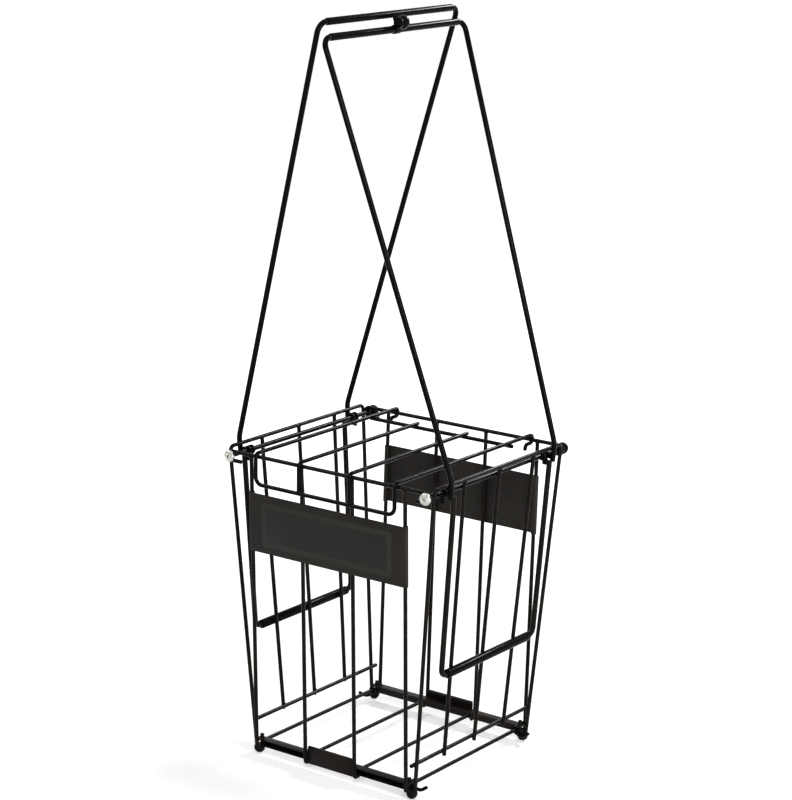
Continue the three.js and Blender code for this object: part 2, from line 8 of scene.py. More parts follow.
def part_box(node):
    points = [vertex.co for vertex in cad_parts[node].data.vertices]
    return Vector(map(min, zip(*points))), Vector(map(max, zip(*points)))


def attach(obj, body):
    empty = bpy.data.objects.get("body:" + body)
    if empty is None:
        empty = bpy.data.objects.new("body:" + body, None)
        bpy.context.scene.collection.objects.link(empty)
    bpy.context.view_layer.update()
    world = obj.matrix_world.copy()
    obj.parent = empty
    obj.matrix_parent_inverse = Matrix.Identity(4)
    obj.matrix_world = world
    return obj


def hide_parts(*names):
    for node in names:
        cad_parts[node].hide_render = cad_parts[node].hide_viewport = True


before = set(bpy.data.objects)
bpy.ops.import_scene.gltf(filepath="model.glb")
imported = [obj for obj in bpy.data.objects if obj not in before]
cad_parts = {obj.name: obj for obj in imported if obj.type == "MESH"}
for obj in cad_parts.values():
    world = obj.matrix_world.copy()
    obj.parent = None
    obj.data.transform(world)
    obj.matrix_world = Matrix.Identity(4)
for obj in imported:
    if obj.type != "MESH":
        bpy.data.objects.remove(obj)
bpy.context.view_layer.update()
print("frame loaded:", len(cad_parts), "nodes")

# Everything is drawn in millimetres about a point midway between the front and back
# walls. A finished piece is then brought to metres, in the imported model's own place.
wallMiddle = (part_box("front_wall_frame")[0].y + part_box("back_wall_frame")[1].y) / 2
toFrame = Matrix.Translation((0, wallMiddle, 0)) @ Matrix.Scale(0.001, 4)
sides = {"left": -1, "right": 1}
ends = {"front": -1, "back": 1}

basket = {
    "wireRadius": 2,
    "handleWireRadius": 2.75,
    "weldHeight": 0.7,  # of the wire's radius
    "coatThickness": 0.1,  # the dipped enamel stands this far proud of the bare wire
    "rodRadius": 2.5,
    "seatGap": 0.3,
    "weldBite": 0.6,
    "footRadius": 5.8,
    "footToBar": 7.6,
    "height": 311,
    "rodX": 124,
    "sideFootX": 103.9,
    "frontTopY": 117,
    "channelOuterY": 105.8,
    "channelDepth": 10.4,
    "channelHeight": 7.4,
    "barPitch": 64,
    "barCount": 4,
}
wireRadius = basket["wireRadius"]
handleWireRadius = basket["handleWireRadius"]
weldHeight = wireRadius * basket["weldHeight"]
seatGap = basket["seatGap"]
rodX = basket["rodX"]
barZ = basket["footRadius"] + basket["footToBar"]
rodZ = barZ + basket["height"]
railOffset = basket["rodRadius"] + seatGap + wireRadius
railZ = rodZ + railOffset
legFootY = basket["channelOuterY"] - basket["channelDepth"] / 2
legTopY = basket["frontTopY"] - 2 * wireRadius - seatGap
wallFootY = basket["channelOuterY"] + seatGap + wireRadius
wallFace = basket["frontTopY"] + wireRadius
barPlaces = [(i - (basket["barCount"] - 1) / 2) * basket["barPitch"] for i in range(basket["barCount"])]


def atHeight(z, foot, top):
    return foot + (z - barZ) / basket["height"] * (top - foot)


def sideX(z):
    return atHeight(z, basket["sideFootX"], rodX + railOffset)


def wallY(z):
    return atHeight(z, wallFootY, basket["frontTopY"])


def legY(z):
    return atHeight(z, legFootY, legTopY)


# One function for every node: settings are its properties, wiring its sockets
def addNode(tree, kind, wiring=None, **settings):
    node = tree.nodes.new(kind)
    for name, value in settings.items():
        setattr(node, name, value)
    for socket, value in (wiring or {}).items():
        if isinstance(value, bpy.types.NodeSocket):
            tree.links.new(value, node.inputs[socket])
        else:
            node.inputs[socket].default_value = value
    return node


def linearColour(hexCode):
    parts = [int(hexCode[i : i + 2], 16) / 255 for i in (1, 3, 5)]
    return [c / 12.92 if c <= 0.04045 else ((c + 0.055) / 1.055) ** 2.4 for c in parts] + [1]


# Finishes. Each look gives its grains, the soft random patterns that it is laid from:
# their size in millimetres, their detail, and how strongly the finer detail shows. A
# stretch draws a grain out into lines: along an axis where it is under 1.
def startMaterial(name, look):
    material = bpy.data.materials.new(name)
    material.use_nodes = True
    tree = material.node_tree
    shader = tree.nodes["Principled BSDF"]
    shader.inputs["IOR"].default_value = look.get("ior", 1.5)
    shader.inputs["Metallic"].default_value = look.get("metallic", 0)
    shader.inputs["Specular IOR Level"].default_value = look.get("specular", 0.5)
    place = addNode(tree, "ShaderNodeTexCoord").outputs["Object"]
    grains = {}
    for kind, (size, detail, fineness) in look.get("grains", {}).items():
        wiring = {"Vector": place, "Scale": 1000 / size, "Detail": detail, "Roughness": fineness}
        stretch = look.get("stretch", {}).get(kind)
        if stretch:
            drawnOut = addNode(tree, "ShaderNodeMapping", {"Vector": place, "Scale": stretch})
            wiring["Vector"] = drawnOut.outputs["Vector"]
        grains[kind] = addNode(tree, "ShaderNodeTexNoise", wiring).outputs["Fac"]
    return material, tree, shader, place, grains


# What every finish shares. A pattern carries its colour from the first to the second
# of two as the pattern's value crosses a span, another does so for its roughness, and
# reliefs are patterns with the share of them that shows and their depth in millimetres.
def layFinish(tree, shader, look, colours, colourBy, reliefs, glossBy=None):
    pattern, span = colourBy
    share = addNode(tree, "ShaderNodeMapRange", {"Value": pattern, "From Min": span[0], "From Max": span[1]})
    first, second = [linearColour(c) for c in colours]
    colour = addNode(
        tree, "ShaderNodeMix", {"Factor": share.outputs["Result"], 6: first, 7: second}, data_type="RGBA"
    )
    tree.links.new(colour.outputs[2], shader.inputs["Base Color"])
    if isinstance(look["roughness"], tuple):
        (pattern, span), (low, high) = glossBy or colourBy, look["roughness"]
        gloss = addNode(
            tree,
            "ShaderNodeMapRange",
            {"Value": pattern, "From Min": span[0], "From Max": span[1], "To Min": low, "To Max": high},
        )
        tree.links.new(gloss.outputs["Result"], shader.inputs["Roughness"])
    else:
        shader.inputs["Roughness"].default_value = look["roughness"]
    below = {}
    for pattern, (shown, depth) in reliefs:
        bump = addNode(
            tree, "ShaderNodeBump", {"Height": pattern, "Strength": shown, "Distance": depth / 1000, **below}
        )
        below = {"Normal": bump.outputs["Normal"]}
    tree.links.new(bump.outputs["Normal"], shader.inputs["Normal"])
    return colour.outputs[2]


# Black enamel dipped and stoved on drawn steel wire: deep black with narrow wavering
# highlights from the coat's orange peel, and duller patches where hands and balls rub
stovedEnamel = {
    "coats": ("#070606", "#0f0d0c"),  # sound, and where it is rubbed
    "floorReflectionCoats": ("#151311", "#201c19"),  # on the basket and bails: the same enamel made lighter, a painted reflection of the pale floor and side light on the steep wires
    "ior": 1.52,
    "specular": 0.03,
    "roughness": (0.12, 0.24),
    "grains": {"peel": (3.5, 1.5, 0.5), "rub": (24, 4, 0.6)},
    "peelRelief": (0.3, 0.012),
    "rubSpan": (0.48, 0.72),
}


def makeStovedEnamel(name, colours):
    look = stovedEnamel
    material, tree, shader, place, grains = startMaterial(name, look)
    rubbed = (grains["rub"], look["rubSpan"])
    layFinish(tree, shader, look, colours, rubbed, [(grains["peel"], look["peelRelief"])])
    return material


# The same enamel on floor bars that balls and court grit roll against: greyer, with
# fine scratches round each bar, drawn coarser than real grit marks so that they show
scuffedEnamel = {
    "coats": ("#0a0909", "#1b1715"),  # sound and scuffed
    "ior": 1.52,
    "specular": 0.04,
    "roughness": (0.3, 0.55),
    "grains": {"scratch": (0.9, 3, 0.7), "scuff": (18, 5, 0.65)},
    "stretch": {"scratch": (0.12, 1, 0.12)},
    "scratchRelief": (0.35, 0.02),
    "scuffSpan": (0.24, 0.42),
}


def makeScuffedEnamel():
    look = scuffedEnamel
    material, tree, shader, place, grains = startMaterial("scuffedBlackEnamel", look)
    both = addNode(tree, "ShaderNodeMath", {0: grains["scratch"], 1: grains["scuff"]}, operation="MULTIPLY")
    scuffed = (both.outputs["Value"], look["scuffSpan"])
    layFinish(tree, shader, look, look["coats"], scuffed, [(grains["scratch"], look["scratchRelief"])])
    return material


# Enamel sprayed on folded sheet steel: browner and thinner than on the wire, with the
# rolling marks of the strip showing faintly along it
sprayedSheet = {
    "coats": ("#110e0d", "#201a17"),  # full, and where it is thin
    "specular": 0.08,
    "roughness": (0.34, 0.5),
    "grains": {"mark": (1.2, 2, 0.5), "cloud": (30, 4, 0.6)},
    "stretch": {"mark": (0.03, 1, 1)},
    "markSpan": (0.3, 0.7),
    "markRelief": (0.3, 0.02),
    "cloudSpan": (0.42, 0.75),
}


def makeSprayedSheet():
    look = sprayedSheet
    material, tree, shader, place, grains = startMaterial("sprayedSheetEnamel", look)
    thin = (grains["cloud"], look["cloudSpan"])
    marked = (grains["mark"], look["markSpan"])
    layFinish(tree, shader, look, look["coats"], thin, [(grains["mark"], look["markRelief"])], marked)
    return material


# Powder coat on the label plates: an even satin charcoal with a fine pebble
powderCoat = {
    "coats": ("#282522", "#1f1c1a"),  # its lighter and darker clouds
    "specular": 0.1,
    "roughness": 0.5,
    "grains": {"cloud": (45, 3, 0.5)},
    "cloudSpan": (0.35, 0.7),
    "pebble": 0.7,  # mm between pebbles
    "pebbleRelief": (0.35, 0.03),
}


def makePowderCoat():
    look = powderCoat
    material, tree, shader, place, grains = startMaterial("charcoalPowderCoat", look)
    pebble = addNode(
        tree, "ShaderNodeTexVoronoi", {"Vector": place, "Scale": 1000 / look["pebble"]}, feature="SMOOTH_F1"
    )
    clouded = (grains["cloud"], look["cloudSpan"])
    reliefs = [(pebble.outputs["Distance"], look["pebbleRelief"])]
    layFinish(tree, shader, look, look["coats"], clouded, reliefs)
    return material


# Dip-moulded vinyl tube: soft satin black with shallow dimples and lengthwise drag lines
dippedVinyl = {
    "vinyls": ("#070709", "#111113"),  # clean, and with a bloom on it
    "ior": 1.53,
    "specular": 0.02,
    "roughness": (0.1, 0.2),
    "grains": {"dimple": (2.4, 2, 0.5), "drag": (1.4, 2, 0.5)},
    "stretch": {"drag": (1, 0.04, 1)},
    "bloomSpan": (0.5, 0.8),
    "dragSpan": (0.3, 0.7),
    "dimpleRelief": (0.25, 0.03),
    "dragRelief": (0.2, 0.02),
}


def makeDippedVinyl():
    look = dippedVinyl
    material, tree, shader, place, grains = startMaterial("dippedBlackVinyl", look)
    bloomed = (grains["dimple"], look["bloomSpan"])
    dragged = (grains["drag"], look["dragSpan"])
    reliefs = [(grains[kind], look[f"{kind}Relief"]) for kind in ("dimple", "drag")]
    layFinish(tree, shader, look, look["vinyls"], bloomed, reliefs, dragged)
    return material


# Bright zinc plate on a cold-headed screw: pale silver with a soft mottle of spangle
# and light tumbling marks
brightZinc = {
    "zincs": ("#d2d2cc", "#a9a9a4"),  # from the middle of a spangle to its edge
    "metallic": 1,
    "roughness": (0.2, 0.4),
    "grains": {"tumble": (0.5, 3, 0.5)},
    "tumbleSpan": (0.3, 0.7),
    "tumbleRelief": (0.3, 0.03),
    "spangle": 1.8,  # mm
    "spangleSpan": (0, 0.8),
}


def makeBrightZinc():
    look = brightZinc
    material, tree, shader, place, grains = startMaterial("brightZincPlate", look)
    spangle = addNode(tree, "ShaderNodeTexVoronoi", {"Vector": place, "Scale": 1000 / look["spangle"]})
    spangled = (spangle.outputs["Distance"], look["spangleSpan"])
    tumbled = (grains["tumble"], look["tumbleSpan"])
    reliefs = [(grains["tumble"], look["tumbleRelief"])]
    layFinish(tree, shader, look, look["zincs"], spangled, reliefs, tumbled)
    return material


# Injection-moulded black plastic knobs: glossy, with a slight sink-mark waviness and a
# haze of fine handling marks
mouldedPlastic = {
    "plastics": ("#080808", "#0e0d0d"),  # clear and hazed
    "ior": 1.54,
    "specular": 0.03,
    "roughness": (0.12, 0.26),
    "grains": {"sink": (5, 1, 0.5), "haze": (5 / 3, 4, 0.5)},
    "sinkRelief": (0.3, 0.08),
    "hazeSpan": (0.5, 0.8),
}


def makeMouldedPlastic():
    look = mouldedPlastic
    material, tree, shader, place, grains = startMaterial("mouldedBlackPlastic", look)
    hazed = (grains["haze"], look["hazeSpan"])
    layFinish(tree, shader, look, look["plastics"], hazed, [(grains["sink"], look["sinkRelief"])])
    return material


# Moulded rubber feet: matt black, dusty where they stand on the court
mouldedRubber = {
    "rubbers": ("#0e0d0c", "#1d1a17"),  # clean and dusty
    "ior": 1.52,
    "specular": 0.06,
    "roughness": 0.75,
    "grains": {"grit": (0.8, 3, 0.5)},
    "gritRelief": (0.4, 0.05),
    "dustHeight": 4,  # mm, up to where the foot picks up dust
}


def makeMouldedRubber():
    look = mouldedRubber
    material, tree, shader, place, grains = startMaterial("mouldedBlackRubber", look)
    height = addNode(tree, "ShaderNodeSeparateXYZ", {0: place}).outputs["Z"]
    low = addNode(
        tree,
        "ShaderNodeMapRange",
        {"Value": height, "From Min": 0, "From Max": look["dustHeight"] / 1000, "To Min": 1, "To Max": 0},
    )
    dust = addNode(
        tree, "ShaderNodeMath", {0: low.outputs["Result"], 1: grains["grit"]}, operation="MULTIPLY"
    )
    dusty = (dust.outputs["Value"], (0, 1))
    layFinish(tree, shader, look, look["rubbers"], dusty, [(grains["grit"], look["gritRelief"])])
    return material


enamelFinish = makeStovedEnamel("stovedBlackEnamel", stovedEnamel["coats"])
# A lighter copy of the stoved enamel for the basket and bail wires: painted reflection of the pale floor and
# painted side light
floorReflectionFinish = makeStovedEnamel("paintedReflectionEnamel", stovedEnamel["floorReflectionCoats"])
barFinish = makeScuffedEnamel()
sheetFinish = makeSprayedSheet()
plateFinish = makePowderCoat()
vinylFinish = makeDippedVinyl()
zincFinish = makeBrightZinc()
plasticFinish = makeMouldedPlastic()
rubberFinish = makeMouldedRubber()
print("finishes made")


# Geometry node trees
def startTree(name, inputs):
    tree = bpy.data.node_groups.new(name, "GeometryNodeTree")
    tree.interface.new_socket("Geometry", in_out="INPUT", socket_type="NodeSocketGeometry")
    for label, kind in inputs.items():
        tree.interface.new_socket(label, in_out="INPUT", socket_type=f"NodeSocket{kind}")
    tree.interface.new_socket("Geometry", in_out="OUTPUT", socket_type="NodeSocketGeometry")
    return tree, addNode(tree, "NodeGroupInput").outputs


def endTree(tree, shape, finish):
    real = addNode(tree, "GeometryNodeRealizeInstances", {"Geometry": shape})
    whole = real.outputs["Geometry"]
    done = addNode(tree, "GeometryNodeSetMaterial", {"Geometry": whole, "Material": finish})
    addNode(tree, "NodeGroupOutput", {"Geometry": done.outputs["Geometry"]})
    return tree


# A ball on each of the spots, squashed along the way that the spot faces
def squashedBalls(tree, spots, facing, segments, radius, scale):
    ball = addNode(tree, "GeometryNodeMeshUVSphere", {"Segments": segments, "Rings": 8, "Radius": radius})
    turn = addNode(tree, "FunctionNodeAlignRotationToVector", {"Vector": facing}, axis="Z")
    size = addNode(tree, "ShaderNodeCombineXYZ", scale)
    wiring = {
        **spots,
        "Instance": ball.outputs["Mesh"],
        "Rotation": turn.outputs["Rotation"],
        "Scale": size.outputs["Vector"],
    }
    return addNode(tree, "GeometryNodeInstanceOnPoints", wiring).outputs["Instances"]


# A round wire along each chain of edges. The point attribute "bend" is the radius of
# the bend at that corner, and both cut ends are softened to a low dome by the enamel.
def makeBentWireTree():
    tree, given = startTree(
        "bentWire",
        {
            "wireRadius": "Float",
            "bendSegments": "Int",
            "wireSides": "Int",
            "endDome": "Float",
            "finish": "Material",
        },
    )
    bend = addNode(tree, "GeometryNodeInputNamedAttribute", {"Name": "bend"}, data_type="FLOAT")
    line = addNode(tree, "GeometryNodeMeshToCurve", {"Mesh": given["Geometry"]})
    corners = {
        "Curve": line.outputs["Curve"],
        "Count": given["bendSegments"],
        "Radius": bend.outputs["Attribute"],
    }
    curve = addNode(tree, "GeometryNodeFilletCurve", corners, mode="POLY").outputs["Curve"]
    section = addNode(
        tree,
        "GeometryNodeCurvePrimitiveCircle",
        {"Resolution": given["wireSides"], "Radius": given["wireRadius"]},
    )
    wire = addNode(
        tree,
        "GeometryNodeCurveToMesh",
        {"Curve": curve, "Profile Curve": section.outputs["Curve"], "Fill Caps": True},
    )
    tip = addNode(tree, "GeometryNodeCurveEndpointSelection", {"Start Size": 1, "End Size": 1})
    along = addNode(tree, "GeometryNodeInputTangent").outputs["Tangent"]
    tips = {"Points": curve, "Selection": tip.outputs["Selection"]}
    snug = 0.995  # each dome sits a hair inside the wire's cut edge
    scale = {"X": snug, "Y": snug, "Z": given["endDome"]}
    domes = squashedBalls(tree, tips, along, given["wireSides"], given["wireRadius"], scale)
    both = addNode(tree, "GeometryNodeJoinGeometry", {"Geometry": wire.outputs["Mesh"]})
    tree.links.new(domes, both.inputs["Geometry"])
    return endTree(tree, both.outputs["Geometry"], given["finish"])


# A low round button on each point, flattened along the point attribute "facing": the
# fused metal at a weld, or the dimple of a spot weld
def makeWeldTree():
    tree, given = startTree(
        "weldButtons",
        {"buttonRadius": "Float", "buttonHeight": "Float", "finish": "Material"},
    )
    facing = addNode(tree, "GeometryNodeInputNamedAttribute", {"Name": "facing"}, data_type="FLOAT_VECTOR")
    scale = {"X": given["buttonRadius"], "Y": given["buttonRadius"], "Z": given["buttonHeight"]}
    places = {"Points": given["Geometry"]}
    buttons = squashedBalls(tree, places, facing.outputs["Attribute"], 14, 1, scale)
    return endTree(tree, buttons, given["finish"])


bentWireTree = makeBentWireTree()
weldTree = makeWeldTree()
print("trees built")


# Drawing aids, all in millimetres
def asObject(mesh, name="drawn"):
    if isinstance(mesh, bmesh.types.BMesh):
        drawn = bpy.data.meshes.new(name)
        mesh.to_mesh(drawn)
        mesh.free()
        mesh = drawn
    obj = bpy.data.objects.new(name, mesh)
    bpy.context.scene.collection.objects.link(obj)
    return obj


def plainMesh(obj):
    graph = bpy.context.evaluated_depsgraph_get()
    mesh = bpy.data.meshes.new_from_object(obj.evaluated_get(graph))
    bpy.data.objects.remove(obj)
    return mesh


def runTree(obj, tree, **values):
    modifier = obj.modifiers.new(tree.name, "NODES")
    modifier.node_group = tree
    for item in tree.interface.items_tree:
        if item.in_out == "INPUT" and item.name in values:
            modifier[item.identifier] = values[item.name]
    return plainMesh(obj)


# Wires from chains of corners (x, y, z, bend radius)
def bentWires(chains, radius, finish=enamelFinish, wireSides=20, bendSegments=12, endDome=0.3):
    line = bmesh.new()
    bend = line.verts.layers.float.new("bend")
    for chain in chains:
        before = None
        for corner in chain:
            point = line.verts.new(corner[:3])
            point[bend] = corner[3] if len(corner) > 3 else 0
            if before:
                line.edges.new((before, point))
            before = point
    return runTree(
        asObject(line),
        bentWireTree,
        wireRadius=radius + basket["coatThickness"],
        bendSegments=bendSegments,
        wireSides=wireSides,
        endDome=float(endDome),
        finish=finish,
    )


# Buttons from places (point, the way it faces)
def weldButtons(places, radius, height, finish=enamelFinish):
    spots = bmesh.new()
    facing = spots.verts.layers.float_vector.new("facing")
    for point, way in places:
        spots.verts.new(point)[facing] = Vector(way)
    sizes = {"buttonRadius": float(radius), "buttonHeight": float(height)}
    return runTree(asObject(spots), weldTree, finish=finish, **sizes)


# A turned form from pairs (radius, place along the axis), pole to pole, or round a
# section where ring is true
def turned(profile, centre, axis="Y", turnSides=48, ring=False):
    form = bmesh.new()
    rows = []
    for radius, place in profile:
        row = []
        for i in range(turnSides if radius > 0 else 1):
            turn = 2 * math.pi * i / turnSides
            across, up = radius * math.cos(turn), radius * math.sin(turn)
            spot = (across, place, up) if axis == "Y" else (across, up, place)
            row.append(form.verts.new(Vector(centre) + Vector(spot)))
        rows.append(row)
    following = rows[1:] + rows[:1] if ring else rows[1:]
    for low, high in zip(rows, following):
        for i in range(turnSides):
            j = i + 1
            corners = [low[i % len(low)], low[j % len(low)], high[j % len(high)], high[i % len(high)]]
            form.faces.new(list(dict.fromkeys(corners)))
    bmesh.ops.recalc_face_normals(form, faces=form.faces)
    return asObject(form)


# A ring's section from its bore to its outside, with soft outer edges
def ringSection(inner, outer, half, soft):
    low = [(inner, -half), (outer - soft, -half), (outer, soft - half)]
    return low + [(a, -b) for a, b in reversed(low)]


def arc(radius, centre, first, last, steps=12):
    turns = [math.radians(first + (last - first) * i / steps) for i in range(steps + 1)]
    return [(centre[0] + radius * math.cos(t), centre[1] + radius * math.sin(t)) for t in turns]


# Points of a folded path (a, b, fold radius) in one plane, with its folds rounded
def foldedPath(corners, steps=8):
    path = []
    for i, corner in enumerate(corners):
        here, fold = Vector(corner[:2]), corner[2] if len(corner) > 2 else 0
        if fold == 0:
            path.append(here)
            continue
        into = (here - Vector(corners[i - 1][:2])).normalized()
        out = (Vector(corners[i + 1][:2]) - here).normalized()
        turn = into.angle(out)
        start = here - into * fold * math.tan(turn / 2)
        inward = (out - into * into.dot(out)).normalized()
        for k in range(steps + 1):
            a = turn * k / steps
            path.append(start + into * fold * math.sin(a) + inward * fold * (1 - math.cos(a)))
    return path


# Sheet metal along a path of points, swept sideways, with its cut edges broken
def sheetMetal(path, sweep, piece):
    sheet = bmesh.new()
    rows = [(sheet.verts.new(p), sheet.verts.new(Vector(p) + Vector(sweep))) for p in path]
    for a, b in zip(rows, rows[1:]):
        sheet.faces.new((a[0], b[0], b[1], a[1]))
    obj = asObject(sheet)
    gauge = obj.modifiers.new("gauge", "SOLIDIFY")
    gauge.thickness, gauge.offset, gauge.use_even_offset = piece["sheet"], 0, True
    return softened(obj, piece["brokenEdge"])


def softened(obj, width, segments=2, angle=40):
    bevel = obj.modifiers.new("edges", "BEVEL")
    bevel.width, bevel.segments = width, segments
    bevel.limit_method, bevel.angle_limit = "ANGLE", math.radians(angle)
    return obj


def block(low, high):
    form = bmesh.new()
    bmesh.ops.create_cube(form, size=1)
    low, high = Vector(low), Vector(high)
    size = high - low
    form.transform(Matrix.Translation((low + high) / 2) @ Matrix.Diagonal((*size, 1)))
    return form


# The mirror image across the middle of the basket, for what is drawn on the right
def onSide(form, x):
    if x < 0:
        form.transform(Matrix.Diagonal((-1, 1, 1, 1)))
        bmesh.ops.reverse_faces(form, faces=form.faces)
    return plainMesh(asObject(form))


# Closed shells that overlap, drawn together into one skin with soft inner corners
def fused(meshes, voxel, passes=3):
    whole = bmesh.new()
    for mesh in meshes:
        whole.from_mesh(mesh)
    obj = asObject(whole)
    skin = obj.modifiers.new("skin", "REMESH")
    skin.mode, skin.voxel_size = "VOXEL", voxel
    soft = obj.modifiers.new("soft", "SMOOTH")
    soft.iterations = passes
    return plainMesh(obj)


def cutAway(obj, cutter):
    cutter.hide_render = True
    cut = obj.modifiers.new("cut", "BOOLEAN")
    cut.operation, cut.solver, cut.object = "DIFFERENCE", "EXACT", cutter
    mesh = plainMesh(obj)
    bpy.data.objects.remove(cutter)
    return mesh


# The finished piece: in metres, in place, shaded, and riding on its body
def putIn(name, meshes, finish, body, nodes=(), sharpAngle=38):
    form = bmesh.new()
    for mesh in meshes:
        form.from_mesh(mesh)
    form.transform(toFrame)
    for face in form.faces:
        face.smooth, face.material_index = True, 0
    for edge in form.edges:
        if len(edge.link_faces) == 2:
            edge.smooth = edge.calc_face_angle(0) < math.radians(sharpAngle)
    mesh = bpy.data.meshes.new(name)
    form.to_mesh(mesh)
    form.free()
    mesh.materials.append(finish)
    obj = bpy.data.objects.new(name, mesh)
    bpy.context.scene.collection.objects.link(obj)
    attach(obj, body)
    if nodes:
        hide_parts(*nodes)
    return obj


def mirroredChains(chains, x=1, y=1):
    return [[(x * c[0], y * c[1], *c[2:]) for c in chain] for chain in chains]


# Front and back walls
wall = {
    "outerWireX": 97.4,
    "innerWireX": 32,
    "eyeTail": 13,
    "hookReach": 7,
    "hookBend": 3,
    "outerEndRise": 4,
    "weldSpread": 1.32,  # of the wire's radius
}


def wallChains():
    y = basket["frontTopY"]

    def eye(side):
        return [
            (side * (rodX - wall["eyeTail"]), y, rodZ - railOffset),
            (side * (rodX + railOffset), y, rodZ - railOffset, railOffset),
            (side * (rodX + railOffset), y, railZ, railOffset),
        ]

    endZ = barZ - wall["outerEndRise"]
    hookZ = barZ - basket["channelHeight"] / 2 - seatGap - wireRadius
    hook = [(wallY(hookZ), hookZ, wall["hookBend"]), (wallY(hookZ) - wall["hookReach"], hookZ)]
    outer, inner = wall["outerWireX"], wall["innerWireX"]
    straight = [[(x, wallY(railZ), railZ), (x, wallY(endZ), endZ)] for x in (-outer, outer)]
    hooked = [[(x, wallY(railZ), railZ), *[(x, *place) for place in hook]] for x in (-inner, inner)]
    return [eye(-1) + eye(1)[::-1], *straight, *hooked]


def wallWelds():
    rows = (-wall["outerWireX"], -wall["innerWireX"], wall["innerWireX"], wall["outerWireX"])
    joints = [((x, wallY(railZ), railZ - wireRadius), (0, 0, 1)) for x in rows]
    flange = basket["channelHeight"] / 2
    for x in (-wall["outerWireX"], wall["outerWireX"]):
        joints += [((x, wallFootY - wireRadius, barZ + rise), (0, 1, 0)) for rise in (-flange, flange)]
    return joints


for end, y in ends.items():
    welds = [((p[0], y * p[1], p[2]), way) for p, way in wallWelds()]
    spread = wireRadius * wall["weldSpread"]
    parts = [
        bentWires(mirroredChains(wallChains(), y=y), wireRadius),
        weldButtons(welds, spread, weldHeight),
    ]
    putIn(f"{end}WallWires", parts, floorReflectionFinish, "basket", [f"{end}_wall_frame"])
print("walls bent")

# Side frames
sideFrame = {
    "railRise": 7.8,
    "railBend": 6,
    "wireTopY": 61.1,
    "wireFootY": 52.9,
    "lowerWireRise": 24,
    "lowerWireOverhang": 6,
    "wireTail": 4,
    "hookWidth": 7,
    "hookRise": 8,
    "hookAxisRise": 5.2,
    "weldSpread": 1.3,
}
sideRailZ = rodZ + sideFrame["railRise"]
lowerWireZ = barZ + sideFrame["lowerWireRise"]
lowerWireX = sideX(lowerWireZ) - 2 * wireRadius + basket["weldBite"]
hookTipX = sideX(sideFrame["hookAxisRise"]) - sideFrame["hookWidth"]


def sideWireY(z):
    return atHeight(z, sideFrame["wireFootY"], sideFrame["wireTopY"])


def sideChains():
    axisZ, bend = sideFrame["hookAxisRise"], sideFrame["hookWidth"] / 2

    def foot(y):
        return [
            (hookTipX, y * legFootY, barZ + sideFrame["hookRise"]),
            (hookTipX, y * legFootY, axisZ, bend),
            (sideX(axisZ), y * legFootY, axisZ, bend),
            (sideX(sideRailZ), y * legY(sideRailZ), sideRailZ, sideFrame["railBend"]),
        ]

    endZ = lowerWireZ - sideFrame["wireTail"]
    uprights = [[(sideX(z), row * sideWireY(z), z) for z in (sideRailZ, endZ)] for row in (-1, 0, 1)]
    lowerHalf = legFootY + sideFrame["lowerWireOverhang"]
    lower = [(lowerWireX, -lowerHalf, lowerWireZ), (lowerWireX, lowerHalf, lowerWireZ)]
    return [foot(-1) + foot(1)[::-1], *uprights, lower]


def sideWelds():
    touchX = (lowerWireX + sideX(lowerWireZ)) / 2
    crossings = [row * sideWireY(lowerWireZ) for row in (-1, 0, 1)]
    crossings += [row * legY(lowerWireZ) for row in (-1, 1)]
    top = sideX(sideRailZ), sideWireY(sideRailZ), sideRailZ - wireRadius
    low = [((touchX, y, lowerWireZ), (1, 0, 0)) for y in crossings]
    return low + [((top[0], row * top[1], top[2]), (0, 0, 1)) for row in (-1, 0, 1)]


for side, x in sides.items():
    welds = [((x * p[0], p[1], p[2]), way) for p, way in sideWelds()]
    parts = [
        bentWires(mirroredChains(sideChains(), x=x), wireRadius),
        weldButtons(welds, wireRadius * sideFrame["weldSpread"], weldHeight),
    ]
    putIn(f"{side}SideWires", parts, floorReflectionFinish, "basket", [f"{side}_side_frame"])
print("side frames bent")

# Floor channels, clip plates and label plates
channel = {
    "sheet": 0.8,
    "brokenEdge": 0.12,
    "foldRadius": 0.9,
    "endGap": 0.6,
}


def channelSheet(y):
    half = channel["sheet"] / 2
    outerY, webY = basket["channelOuterY"], basket["channelOuterY"] - basket["channelDepth"]
    low, high = barZ - basket["channelHeight"] / 2 + half, barZ + basket["channelHeight"] / 2 - half
    reach = sideX(barZ) - wireRadius - channel["endGap"]
    web = [(webY + half, z, channel["foldRadius"]) for z in (low, high)]
    section = foldedPath([(outerY, low), *web, (outerY, high)])
    return sheetMetal([(-reach, y * a, b) for a, b in section], (2 * reach, 0, 0), channel)


clipPlate = {
    "sheet": 1.2,
    "brokenEdge": 0.2,
    "topRise": 10.6,
    "drop": 6.4,
    "rollRadius": 2.1,
    "rollTurn": 300,
}


def clipSheet(y):
    half = clipPlate["sheet"] / 2
    reach = wall["innerWireX"] - wireRadius - seatGap
    front = basket["channelOuterY"] + seatGap + clipPlate["sheet"]
    middle = front - half
    rollCentre = (front - clipPlate["rollRadius"], barZ + clipPlate["topRise"])
    roll = arc(clipPlate["rollRadius"] - half, rollCentre, 0, clipPlate["rollTurn"], 24)
    path = [(middle, barZ - clipPlate["drop"]), *roll]
    return sheetMetal([(-reach, y * a, b) for a, b in path], (2 * reach, 0, 0), clipPlate)


labelPlate = {
    "sheet": 0.8,
    "brokenEdge": 0.18,
    "lowRise": 214.5,
    "height": 63,
    "wrapTurn": 223.2,  # degrees round each outer wire
    "spotX": 94.5,  # the spot welds near each end
    "spotRises": (7.5, 56.5),
    "spotRadius": 1.8,
    "spotHeight": 0.7,
}
labelLowZ = barZ + labelPlate["lowRise"]
wallLeanAngle = math.atan((basket["frontTopY"] - wallFootY) / basket["height"])


